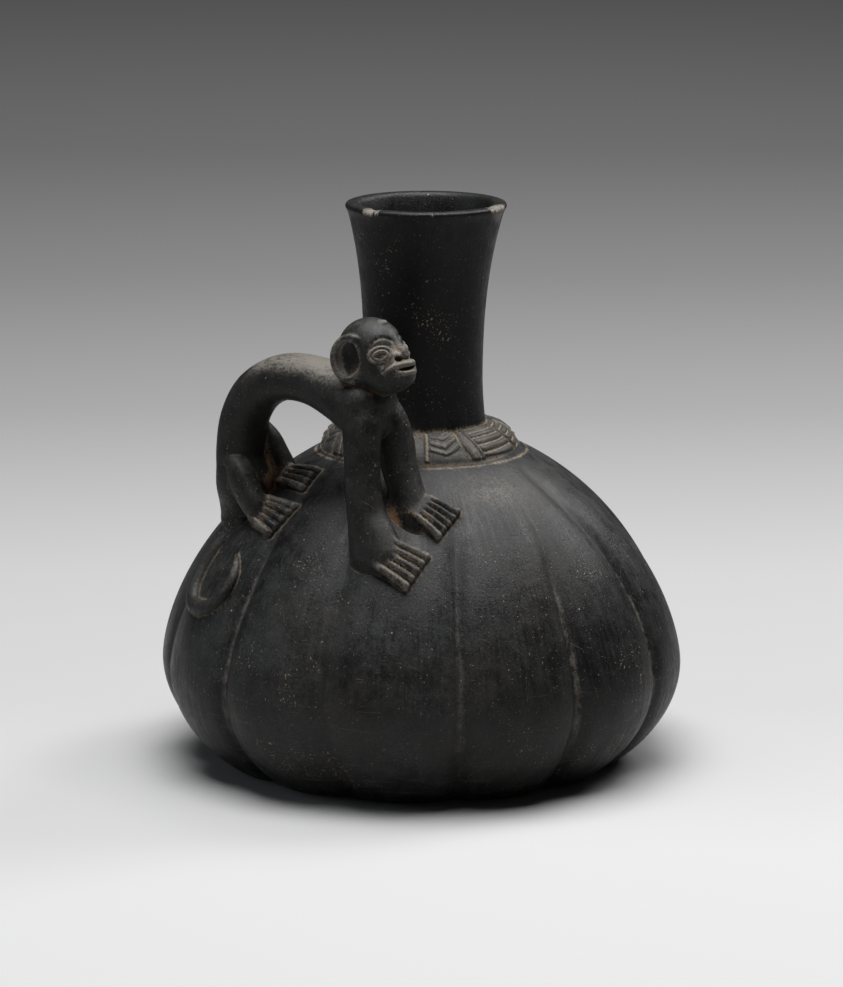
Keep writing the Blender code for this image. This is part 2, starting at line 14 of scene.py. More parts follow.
import bpy
import numpy as np
from mathutils import Matrix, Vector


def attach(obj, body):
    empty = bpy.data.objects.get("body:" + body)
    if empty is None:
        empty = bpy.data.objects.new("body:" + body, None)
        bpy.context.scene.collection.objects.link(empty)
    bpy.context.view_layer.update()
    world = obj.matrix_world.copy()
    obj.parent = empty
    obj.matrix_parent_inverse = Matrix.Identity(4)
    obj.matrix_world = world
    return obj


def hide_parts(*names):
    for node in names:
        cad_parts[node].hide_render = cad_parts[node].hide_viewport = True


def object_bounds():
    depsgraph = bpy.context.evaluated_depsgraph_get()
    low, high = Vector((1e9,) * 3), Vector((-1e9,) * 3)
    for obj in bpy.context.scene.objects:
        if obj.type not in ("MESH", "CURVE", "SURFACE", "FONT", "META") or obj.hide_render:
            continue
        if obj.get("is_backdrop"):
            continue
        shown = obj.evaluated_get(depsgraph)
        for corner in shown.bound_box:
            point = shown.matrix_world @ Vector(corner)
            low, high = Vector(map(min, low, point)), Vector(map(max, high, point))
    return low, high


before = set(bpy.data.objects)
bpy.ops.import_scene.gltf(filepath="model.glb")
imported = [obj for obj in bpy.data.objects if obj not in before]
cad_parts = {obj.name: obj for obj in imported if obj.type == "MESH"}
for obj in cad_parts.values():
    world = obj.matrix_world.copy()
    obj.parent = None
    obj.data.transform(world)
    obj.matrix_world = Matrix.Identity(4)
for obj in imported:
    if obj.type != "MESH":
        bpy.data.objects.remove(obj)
CAD_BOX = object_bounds()

MM = 0.001
FAR = 60.0
TINY = 1e-6
NODE = "jar"
BODY = "root"
log = logging.getLogger("jar")

Array = np.ndarray
Triple = tuple[float, float, float]
Colour = tuple[float, float, float]
Stations = tuple[tuple[float, ...], ...]
Masses = tuple[tuple[Triple, Triple, float, float], ...]


def smooth_step(low: float, high: float, value: Array | float) -> Array | float:
    """Rise softly from 0 at low to 1 at high.

    Args:
        low: Where the rise starts.
        high: Where the rise ends, which may lie below low for a fall.
        value: One value or many.

    Returns:
        The share risen, of the same shape as value.
    """
    share = np.clip((value - low) / (high - low), 0.0, 1.0)
    return share * share * (3 - 2 * share)


def bump(value: Array | float, width: float) -> Array | float:
    """A soft hump of height 1 round 0, falling to a third at this width."""
    return np.exp(-((value / width) ** 2))


def soft_min(first: Array, second: Array, blend: float) -> Array:
    """The smaller of two distances, with a fillet of this size where they meet."""
    if blend <= 0:
        return np.minimum(first, second)
    near = np.clip(blend - np.abs(first - second), 0.0, None) / blend
    return np.minimum(first, second) - near * near * blend / 4


def soft_max(first: Array, second: Array, blend: float) -> Array:
    """The larger of two distances, with an edge rounded by this size."""
    return -soft_min(-first, -second, blend)


def smooth_path(points: Sequence[Sequence[float]], pieces: int) -> Array:
    """A smooth path through stations by Catmull-Rom pieces.

    Args:
        points: The stations, each a row of numbers.
        pieces: Points made for each stretch between two stations.

    Returns:
        The path's rows, with as many columns as a station has.
    """
    rows = np.asarray(points, float)
    padded = np.vstack([2 * rows[0] - rows[1], rows, 2 * rows[-1] - rows[-2]])
    made = []
    for before, start, end, after in zip(padded, padded[1:], padded[2:], padded[3:]):
        t = (np.arange(pieces) / pieces)[:, None]
        line = 2 * start + (end - before) * t
        bend = (2 * before - 5 * start + 4 * end - after) * t**2
        twist = (3 * start - before - 3 * end + after) * t**3
        made.append((line + bend + twist) / 2)
    made.append(rows[-1:])
    return np.vstack(made)


def apart(degrees: Array, angle: Array | float) -> Array:
    """How far directions lie from an angle, from -180 to 180 degrees."""
    return (degrees - angle + 180) % 360 - 180


def between(value: Array, low: Array | float, high: Array | float, soft: float) -> Array:
    """1 between two places and 0 outside them, with edges this soft."""
    rise = smooth_step(-soft, soft, value - low)
    return rise * smooth_step(-soft, soft, high - value)


def unit(vectors: Array) -> Array:
    """The vectors scaled to length 1, along the last axis."""
    length = np.linalg.norm(vectors, axis=-1, keepdims=True)
    return vectors / np.maximum(length, TINY)


class Form(Protocol):
    """A shape that clay can be added to or carved with."""

    def box(self) -> tuple[Array, Array]:
        """Lowest and highest corner."""

    def distance(self, x: Array, y: Array, z: Array) -> Array:
        """Signed distance at each point, below zero inside."""


@dataclass(frozen=True)
class Ball:
    """An ellipsoid.

    Attributes:
        centre: Its middle.
        radii: Its radii along its own X, Y and Z.
        tip: Degrees turned about Y, nose down when positive.
        yaw: Degrees turned about Z, after the tip.
    """

    centre: Sequence[float]
    radii: Sequence[float]
    tip: float = 0.0
    yaw: float = 0.0

    def axes(self) -> Array:
        """The turned axes, one in each column."""
        tipped = Matrix.Rotation(math.radians(self.tip), 3, "Y")
        return np.array(Matrix.Rotation(math.radians(self.yaw), 3, "Z") @ tipped)

    def box(self) -> tuple[Array, Array]:
        """Lowest and highest corner."""
        reach = np.full(3, max(self.radii))
        return np.asarray(self.centre) - reach, np.asarray(self.centre) + reach

    def distance(self, x: Array, y: Array, z: Array) -> Array:
        """Signed distance at each point, below zero inside."""
        axes = self.axes()
        off = (x - self.centre[0], y - self.centre[1], z - self.centre[2])
        first = second = 0.0
        for axis, radius in zip(axes.T, self.radii):
            part = (off[0] * axis[0] + off[1] * axis[1] + off[2] * axis[2]) / radius
            first = first + part * part
            second = second + part * part / radius**2
        first = np.sqrt(first)
        return first * (first - 1) / np.maximum(np.sqrt(second), TINY)


@dataclass(frozen=True)
class Limb:
    """A limb swept along a smooth path.

    Attributes:
        stations: Rows of x, y, z, thickness and width.
        side: The direction that the width lies along, one for all stations or one for each.
        power: 2 for a round section, more for a squarer one.
        pieces: Points made between two stations.
        reach: How far off its surface the distance is worked out.
    """

    stations: Sequence[Sequence[float]]
    side: Sequence[float] | Sequence[Sequence[float]] = (0.0, 1.0, 0.0)
    power: float = 2.0
    pieces: int = 5
    reach: float = 5.0

    def path(self) -> Array:
        """The smooth path, with its section's sizes."""
        return smooth_path(self.stations, self.pieces)

    def frames(self, path: Array) -> tuple[Array, Array, Array]:
        """Directions along, across and out of the limb at each point of its path."""
        along = unit(np.gradient(path[:, :3], axis=0))
        side = np.asarray(self.side, float)
        if side.ndim == 1:
            side = np.tile(side, (len(path), 1))
        else:
            side = smooth_path(side, self.pieces)
        across = unit(side - along * (side * along).sum(1, keepdims=True))
        return along, across, np.cross(along, across)

    def box(self) -> tuple[Array, Array]:
        """Lowest and highest corner."""
        path = self.path()
        reach = path[:, 3:].max() / 2
        return path[:, :3].min(0) - reach, path[:, :3].max(0) + reach

    def nearest(self, path: Array, x: Array, y: Array, z: Array) -> tuple[Array, Array]:
        """The nearest place on the path, as an index with its fraction, and where one was found."""
        best = np.full((x.size, y.size, z.size), np.inf, np.float32)
        place = np.zeros_like(best)
        reach = path[:, 3:].max() / 2 + self.reach
        for index in range(len(path) - 1):
            start = path[index, :3]
            step = path[index + 1, :3] - start
            low = np.minimum(start, start + step) - reach
            high = np.maximum(start, start + step) + reach
            ends = zip((x, y, z), low, high)
            part = tuple(slice(*np.searchsorted(axis.ravel(), (first, last))) for axis, first, last in ends)
            px, py, pz = x[part[0]] - start[0], y[:, part[1]] - start[1], z[:, :, part[2]] - start[2]
            share = np.clip((px * step[0] + py * step[1] + pz * step[2]) / max(step.dot(step), TINY), 0, 1)
            gap = (px - share * step[0]) ** 2 + (py - share * step[1]) ** 2 + (pz - share * step[2]) ** 2
            closer = gap < best[part]
            best[part][closer] = gap[closer]
            place[part][closer] = (index + share)[closer]
        return place, np.isfinite(best)

    def distance(self, x: Array, y: Array, z: Array) -> Array:
        """Signed distance at each point, below zero inside."""
        path = self.path()
        place, found = self.nearest(path, x, y, z)
        at = place[found]
        base = np.minimum(at.astype(int), len(path) - 2)
        part = (at - base)[:, None]
        station = path[base] * (1 - part) + path[base + 1] * part
        grid = np.broadcast_arrays(x, y, z)
        off = np.stack([axis[found] for axis in grid], axis=1) - station[:, :3]
        half_out, half_across = station[:, 3] / 2, station[:, 4] / 2
        half_along = np.minimum(half_out, half_across)
        share = 0.0
        for direction, half in zip(self.frames(path), (half_along, half_across, half_out)):
            axis = direction[base] * (1 - part) + direction[base + 1] * part
            share = share + (np.abs((off * axis).sum(1)) / half) ** self.power
        share = share ** (1 / self.power)
        length = np.linalg.norm(off, axis=1)
        gap = np.where(length < TINY, -half_along, length - length / np.maximum(share, TINY))
        made = np.full(place.shape, FAR, np.float32)
        made[found] = gap
        return made


class Clay:
    """Clay as a regular grid of signed distances in millimetres, below zero inside.

    Attributes:
        ADD_MARGIN: Grid steps worked over round a form that is added.
        CARVE_MARGIN: Grid steps worked over round a form that is carved out.
    """

    ADD_MARGIN = 3
    CARVE_MARGIN = 2

    def __init__(self, low: Triple, high: Triple, step: float) -> None:
        """Start with an empty block.

        Args:
            low: Lowest corner of the block.
            high: Highest corner of the block.
            step: Distance between the grid's points.
        """
        self.low = np.asarray(low, float)
        self.step = step
        self.count = np.ceil((np.asarray(high) - self.low) / step).astype(int) + 1
        self.field = np.full(self.count, FAR, np.float32)

    def window(self, low: Array, high: Array) -> tuple[slice, ...]:
        """The part of the grid between two corners."""
        first = np.clip(np.floor((low - self.low) / self.step).astype(int), 0, self.count - 2)
        last = np.clip(np.ceil((high - self.low) / self.step).astype(int) + 1, first + 2, self.count)
        return tuple(slice(a, b) for a, b in zip(first, last))

    def axes(self, window: tuple[slice, ...] | None = None) -> tuple[Array, Array, Array]:
        """Open X, Y and Z coordinates of a window's points, or of all points."""
        window = window or tuple(slice(0, count) for count in self.count)
        starts = zip(self.low, window)
        x, y, z = (low + self.step * np.arange(part.start, part.stop) for low, part in starts)
        return x[:, None, None], y[None, :, None], z[None, None, :]

    def add(self, form: Form, blend: float = 0.0) -> None:
        """Join a form to the clay, with a fillet of this size."""
        low, high = form.box()
        margin = blend + self.step * self.ADD_MARGIN
        window = self.window(low - margin, high + margin)
        gap = form.distance(*self.axes(window))
        self.field[window] = soft_min(self.field[window], gap, blend)

    def carve(self, form: Form, blend: float = 0.0) -> None:
        """Take a form out of the clay, with its edges rounded by this size."""
        low, high = form.box()
        margin = blend + self.step * self.CARVE_MARGIN
        window = self.window(low - margin, high + margin)
        gap = form.distance(*self.axes(window))
        self.field[window] = soft_max(self.field[window], -gap, blend)

    def sample(self, points: Array) -> Array:
        """The distance at any points, read between the grid's points.

        Args:
            points: Rows of x, y and z.

        Returns:
            One distance for each row, FAR outside the block.
        """
        place = (points - self.low) / self.step
        inside = ((place >= 0) & (place <= self.count - 1.001)).all(1)
        spot = place[inside]
        base = spot.astype(int)
        part = spot - base
        total = np.zeros(len(spot))
        for corner in range(8):
            offset = np.array([corner >> 2 & 1, corner >> 1 & 1, corner & 1])
            weight = np.where(offset, part, 1 - part).prod(1)
            index = base + offset
            total += weight * self.field[index[:, 0], index[:, 1], index[:, 2]]
        made = np.full(len(points), FAR)
        made[inside] = total
        return made

    def slope(self, points: Array) -> Array:
        """Direction straight out of the clay at points near its surface."""
        rows = []
        for axis in np.eye(3) * self.step:
            rows.append(self.sample(points + axis) - self.sample(points - axis))
        return unit(np.stack(rows, axis=1))

    def skin(self) -> tuple[Array, Array]:
        """The clay's surface, one point for each cell that it crosses.

        Returns:
            The points, as rows of x, y and z, and the faces, as rows of four points.
        """
        inside = self.field < 0
        filled = np.zeros(self.count - 1, np.uint8)
        corners = [(i, j, k) for i in (0, 1) for j in (0, 1) for k in (0, 1)]
        for i, j, k in corners:
            filled += inside[i : i + filled.shape[0], j : j + filled.shape[1], k : k + filled.shape[2]]
        cells = np.argwhere((filled > 0) & (filled < 8))
        number = np.full(filled.shape, -1, np.int32)
        number[tuple(cells.T)] = np.arange(len(cells))
        values = {corner: self.field[tuple((cells + corner).T)] for corner in corners}
        total = np.zeros((len(cells), 3))
        crossings = np.zeros(len(cells))
        for start in corners:
            for axis in range(3):
                if start[axis]:
                    continue
                end = tuple(value + (axis == index) for index, value in enumerate(start))
                first, second = values[start], values[end]
                crossed = (first < 0) != (second < 0)
                share = first[crossed] / (first[crossed] - second[crossed])
                total[crossed] += np.asarray(start, float)
                total[crossed, axis] += share
                crossings[crossed] += 1
        points = self.low + self.step * (cells + total / crossings[:, None])
        faces = [self._walls(inside, number, axis) for axis in range(3)]
        return points, np.vstack(faces)

    def _walls(self, inside: Array, number: Array, axis: int) -> Array:
        """Faces across the grid's edges that run along one axis."""
        turned = np.moveaxis(inside, (axis, (axis + 1) % 3, (axis + 2) % 3), (0, 1, 2))
        cells = np.moveaxis(number, (axis, (axis + 1) % 3, (axis + 2) % 3), (0, 1, 2))
        start, end = turned[:-1, 1:-1, 1:-1], turned[1:, 1:-1, 1:-1]
        made = []
        for way, chosen in ((1, start & ~end), (-1, end & ~start)):
            i, j, k = np.nonzero(chosen)
            ring = [cells[i, j, k], cells[i, j + 1, k], cells[i, j + 1, k + 1], cells[i, j, k + 1]]
            made.append(np.stack(ring[::way], axis=1))
        return np.vstack(made)


@dataclass(frozen=True)
class Groove:
    """One groove between two lobes.

    Attributes:
        angle: Its direction from the axis at the widest place, in degrees.
        drift: Degrees that it turns by towards the neck.
        depth: Its depth as a share of the jar's groove depth.
    """

    angle: float
    drift: float = 0.0
    depth: float = 1.0


@dataclass(frozen=True)
class JarForm:
    """The jar's turned outline with its grooves.

    Attributes:
        body_radius: Radius over the lobes.
        foot_radius: Radius of the foot.
        skirt_power: Roundness of the body below its widest place.
        widest_height: Height of the widest place.
        shoulder_rise: Height of the closed shoulder over the widest place.
        rise_power: Roundness of the shoulder's side.
        close_power: Roundness of the shoulder's top.
        groove_depth: Depth of a groove at the widest place.
        groove_width: Half width of a groove, in degrees at the widest place.
        groove_widening: How much wider a groove gets towards the neck.
        bank_share: Share of a groove that is its soft bank.
        bank_width: How many times as wide as the groove the bank is.
        lobe_reach: Degrees from a groove to where its lobe is fullest.
        swell: Share of the depth that is the lobes' own roundness.
        foot_gain: How much deeper the grooves are at the foot.
        first_fade: Distances from the axis between which the grooves fade in beside the collar.
        last_fade: Distances between which they reach their full depth.
        first_share: Share of the depth that they have between the two.
        slope_gain: How much further down than its gap a point on the slope moves to reach the surface.
        grooves: The grooves, in turn round the axis.
    """

    body_radius: float = 94.7
    foot_radius: float = 70.0
    skirt_power: float = 0.84
    widest_height: float = 36.5
    shoulder_rise: float = 86.7
    rise_power: float = 1.64
    close_power: float = 0.524
    groove_depth: float = 3.7
    groove_width: float = 1.9
    groove_widening: float = 0.9
    bank_share: float = 0.28
    bank_width: float = 2.6
    lobe_reach: float = 15.0
    swell: float = 0.46
    foot_gain: float = 0.42
    first_fade: tuple[float, float] = (38.0, 56.0)
    last_fade: tuple[float, float] = (54.0, 86.0)
    first_share: float = 0.34
    slope_gain: float = 1.2
    grooves: tuple[Groove, ...] = (
        Groove(-163.0, 2.0, 0.9),
        Groove(-132.5, 1.0, 0.95),
        Groove(-102.3, 0.0, 1.0),
        Groove(-73.8, -0.5, 0.62),
        Groove(-44.0, 3.0, 0.92),
        Groove(-15.8, 5.5, 1.05),
        Groove(12.6, -8.0, 1.1),
        Groove(42.5, -4.0, 1.0),
        Groove(73.5, 1.0, 0.95),
        Groove(104.0, -2.0, 1.05),
        Groove(135.0, 1.5, 0.9),
        Groove(166.5, 0.0, 1.0),
    )

    def skirt_radius(self, height: Array | float) -> Array | float:
        """Radius of the body below its widest place."""
        share = 1 - height / self.widest_height
        roundness = np.clip(1 - share * share, 0, None) ** self.skirt_power
        return self.foot_radius + (self.body_radius - self.foot_radius) * roundness

    def shoulder_height(self, radius: Array | float) -> Array | float:
        """Height of the shoulder over a place at this distance from the axis."""
        share = np.clip(radius / self.body_radius, 0, 1) ** (1 / self.close_power)
        return self.widest_height + self.shoulder_rise * (1 - share) ** (1 / self.rise_power)

    def groove(self, angle: Array, radius: Array | float) -> Array:
        """Depth of the grooves as a share of the groove depth.

        Args:
            angle: Directions from the axis, in radians.
            radius: Distances from the axis, of a shape that goes with angle.

        Returns:
            The share for each place.
        """
        upward = smooth_step(self.body_radius - 4, self.body_radius * 0.5, radius)
        degrees = np.degrees(angle)
        gaps, depths = [], []
        for groove in self.grooves:
            gaps.append(np.abs(apart(degrees - groove.drift * upward, groove.angle)))
            depths.append(groove.depth)
        gaps = np.stack(np.broadcast_arrays(*gaps))
        nearest = gaps.argmin(0)
        gap = np.take_along_axis(gaps, nearest[None], 0)[0]
        depth = np.asarray(depths)[nearest]
        width = self.groove_width * (1 + self.groove_widening * upward)
        bank = bump(gap, self.bank_width * width)
        valley = bump(gap, width) + self.bank_share * (bank - bump(gap, width))
        roundness = np.clip(1 - gap / self.lobe_reach, 0, 1) ** 2
        return depth * (1 - self.swell) * valley + self.swell * roundness

    def fade(self, radius: Array | float) -> Array | float:
        """How much of the grooves is left on the shoulder, dying out towards the collar."""
        first = self.first_share * smooth_step(*self.first_fade, radius)
        return first + (1 - self.first_share) * smooth_step(*self.last_fade, radius)

    def normal(self, x: Array, y: Array, z: Array) -> Array:
        """Direction straight out of the ungrooved shoulder at places near it."""
        radius = np.maximum(np.hypot(x, y), TINY)
        outward, upward = self._slope(radius, z)
        return unit(np.stack([outward * x / radius, outward * y / radius, upward], axis=-1))

    def normal_at(self, point: Array) -> Array:
        """Direction straight out of the ungrooved shoulder at one point near it."""
        return self.normal(*(np.array([value]) for value in point))[0]

    def _slope(self, radius: Array, height: Array) -> tuple[Array, Array]:
        """Growth of the outline's formula outward and upward."""
        share = np.clip((height - self.widest_height) / self.shoulder_rise, 0, None)
        power = 1 / self.close_power
        outward = (radius / self.body_radius) ** (power - 1) * power / self.body_radius
        upward = self.rise_power * share ** (self.rise_power - 1) / self.shoulder_rise
        return outward, upward

    def distance(self, x: Array, y: Array, z: Array) -> Array:
        """Distance out of the grooved shoulder, below zero inside it."""
        radius = np.maximum(np.hypot(x, y), TINY)
        share = np.clip((z - self.widest_height) / self.shoulder_rise, 0, None)
        value = (radius / self.body_radius) ** (1 / self.close_power) + share**self.rise_power - 1
        outward, upward = self._slope(radius, z)
        cut = self.groove_depth * self.fade(radius) * self.groove(np.arctan2(y, x), radius)
        return value / np.maximum(np.hypot(outward, upward), TINY) + cut

    def on_shoulder(self, x: float, y: float, lift: float = 0.0, dip: float = 1.0) -> Array:
        """The point of the shoulder over a place in plan, lifted along its normal.

        Args:
            x: The place's x.
            y: The place's y.
            lift: How far it is lifted.
            dip: How far it follows the grooves, from 0 to 1.

        Returns:
            The point.
        """
        radius = math.hypot(x, y)
        point = np.array([x, y, float(self.shoulder_height(radius))])
        for _ in range(3):
            gap = float(self.distance(*(np.array([value]) for value in point))[0])
            point[2] -= gap * self.slope_gain * dip
        return point + self.normal_at(point) * lift


@dataclass(frozen=True)
class Paw:
    """A flat hand or foot lying on the shoulder, with fingers parted by grooves.

    Attributes:
        form: The jar's outline that it lies on.
        heel: Where it starts, in plan.
        heading: Direction of its fingers in plan, in degrees.
        length: Its length along the surface.
        heel_width: Width at the heel.
        tip_width: Width at the tips.
        thickness: Height over the surface at the knuckles.
        tip_thickness: Height at the tips.
        fingers: How many fingers it has.
        knuckles: Where the grooves start, as a share of the length.
        skew: How much further the left side of the tips reaches than the right.
        groove_depth: Depth of the grooves between the fingers.
        groove_width: Half width of such a groove.
        crown: How far the middle of a finger stands over its sides.
        groove_start: Where the grooves begin and reach their depth, before and after the knuckles.
        knuckle_height: Height of the ridge over the knuckles.
        knuckle_width: Half width of that ridge, as a share of the length.
        heel_slope: Shares of the length between which the heel rises from the shoulder.
        roundings: Roundness of the corners in plan, of the sides and of the top's edge.
        caution: Share of the distance that is trusted, for it is worked out along the shoulder.
    """

    form: JarForm
    heel: tuple[float, float]
    heading: float
    length: float
    heel_width: float
    tip_width: float
    thickness: float = 4.6
    tip_thickness: float = 3.4
    fingers: int = 5
    knuckles: float = 0.42
    skew: float = 0.0
    groove_depth: float = 1.05
    groove_width: float = 0.40
    crown: float = 0.28
    groove_start: tuple[float, float] = (-0.05, 0.06)
    knuckle_height: float = 0.4
    knuckle_width: float = 0.07
    heel_slope: tuple[float, float] = (0.34, -0.02)
    roundings: Triple = (1.0, 1.6, 1.3)
    caution: float = 0.9

    def frame(self) -> tuple[Array, Array, Array]:
        """Heel point on the surface, and directions along and across, the latter to the left."""
        turn = math.radians(self.heading)
        heel = self.form.on_shoulder(*self.heel)
        reach = self.length * 0.8
        tip = self.form.on_shoulder(heel[0] + reach * math.cos(turn), heel[1] + reach * math.sin(turn))
        along = unit(tip - heel)
        up = self.form.normal_at((heel + tip) / 2)
        return heel, along, unit(np.cross(up, along))

    def box(self) -> tuple[Array, Array]:
        """Lowest and highest corner."""
        heel, along, across = self.frame()
        half = across * max(self.heel_width, self.tip_width) / 2
        tip = heel + along * self.length
        ends = np.array([heel + half, heel - half, tip + half, tip - half])
        margin = self.thickness + 2
        return ends.min(0) - margin, ends.max(0) + margin

    def distance(self, x: Array, y: Array, z: Array) -> Array:
        """Signed distance at each point, below zero inside."""
        heel, ahead, aside = self.frame()
        off = (x - heel[0], y - heel[1], z - heel[2])
        along = off[0] * ahead[0] + off[1] * ahead[1] + off[2] * ahead[2]
        across = off[0] * aside[0] + off[1] * aside[1] + off[2] * aside[2]
        height = self.form.distance(x, y, z)
        share = np.clip(along / self.length, 0, 1.2)
        half = (self.heel_width + (self.tip_width - self.heel_width) * share) / 2
        thinner = smooth_step(self.knuckles, 1.0, share)
        top = self.thickness + (self.tip_thickness - self.thickness) * thinner
        spread = across / (2 * half) + 0.5
        finger = spread * self.fingers
        edge = np.abs(finger - np.round(finger)) / self.fingers * 2 * half
        inner = (np.round(finger) > 0) & (np.round(finger) < self.fingers)
        valley = np.where(inner, bump(edge, self.groove_width), 0.0)
        ridge = -self.crown * np.cos(2 * np.pi * finger)
        first, last = self.groove_start
        started = smooth_step(self.knuckles + first, self.knuckles + last, share)
        knuckle = bump(share - self.knuckles + self.knuckle_width, self.knuckle_width)
        top = top + started * (ridge - self.groove_depth * valley) + self.knuckle_height * knuckle
        top = top - self.thickness * smooth_step(*self.heel_slope, along / self.length)
        end = along - self.length - self.skew * across / self.tip_width * 2
        end = end + started * valley * self.groove_depth / 2
        corner, side, edge_of_top = self.roundings
        sides = soft_max(np.abs(across) - half, soft_max(end, -along, corner), side)
        return soft_max(height - top, sides, edge_of_top) * self.caution


def clay_around(clays: Sequence[Clay], form: JarForm, points: Array) -> Array:
    """Distance from any points to the clays or the jar, whichever is nearer."""
    nearest = form.distance(*points.T)
    for clay in clays:
        nearest = np.minimum(nearest, clay.sample(points))
    return nearest


def shut_in(clays: Sequence[Clay], form: JarForm, points: Array, normals: Array, reach: float) -> Array:
    """How far other clay or the jar closes in on each point.

    Args:
        clays: All modelled clay.
        form: The jar that it stands on.
        points: Points on the clay's skin.
        normals: The skin's normals there.
        reach: How far to look.

    Returns:
        0 in the open and up to 1 in a crease.
    """
    found = clay_around(clays, form, points + normals * reach)
    return np.clip(1 - found / reach, 0, 1)


def raised(clay: Clay, points: Array, normals: Array, reach: float) -> Array:
    """How sharply the clay stands out at each point, from 0 where it is flat."""
    found = clay.sample(points - normals * reach)
    return np.clip(1 + found / reach, 0, 1)


@dataclass(frozen=True)
class Band:
    """A soft band.

    Attributes:
        middle: Where it is strongest.
        width: How far it reaches to each side.
    """

    middle: float
    width: float

    def over(self, value: Array) -> Array:
        """Its strength at these values, from 0 to 1."""
        return bump(value - self.middle, self.width)


@dataclass(frozen=True)
class Patch:
    """A place where dirt has stayed.

    Attributes:
        place: Its middle.
        reach: How far it spreads.
        strength: How thick it is, from 0 to 1.
    """

    place: Triple
    reach: float
    strength: float

    def over(self, points: Array) -> Array:
        """The dirt at each point."""
        return self.strength * bump(np.linalg.norm(points - np.asarray(self.place), axis=1), self.reach)


def most(patches: Sequence[Patch], points: Array) -> Array:
    """The thickest of the patches at each point."""
    return np.maximum.reduce([patch.over(points) for patch in patches])


def piece_of(
    name: str, points: Array, faces: Sequence[Sequence[int]] | Array, layers: dict[str, Array]
) -> bpy.types.Object:
    """Make a piece from points in millimetres.

    Args:
        name: The piece's name.
        points: Rows of x, y and z.
        faces: Rows of point numbers.
        layers: A value for each point, by the layer's name, which the finish reads.

    Returns:
        The piece, shaded smooth, linked to the scene.
    """
    mesh = bpy.data.meshes.new(name)
    mesh.from_pydata(points * MM, [], faces)
    mesh.validate()
    for layer, values in layers.items():
        made = mesh.attributes.new(layer, "FLOAT", "POINT")
        made.data.foreach_set("value", np.ascontiguousarray(values, np.float32))
    mesh.shade_smooth()
    piece = bpy.data.objects.new(name, mesh)
    bpy.context.scene.collection.objects.link(piece)
    return piece


def keep(piece: bpy.types.Object, material: bpy.types.Material) -> None:
    """Dress a piece of the jar, hang it on the body that it rides on, and hide the imported jar part."""
    piece.data.materials.append(material)
    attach(piece, BODY)
    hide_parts(NODE)
    triangles = sum(len(face.vertices) - 2 for face in piece.data.polygons)
    log.info("%s: %d triangles", piece.name, triangles)


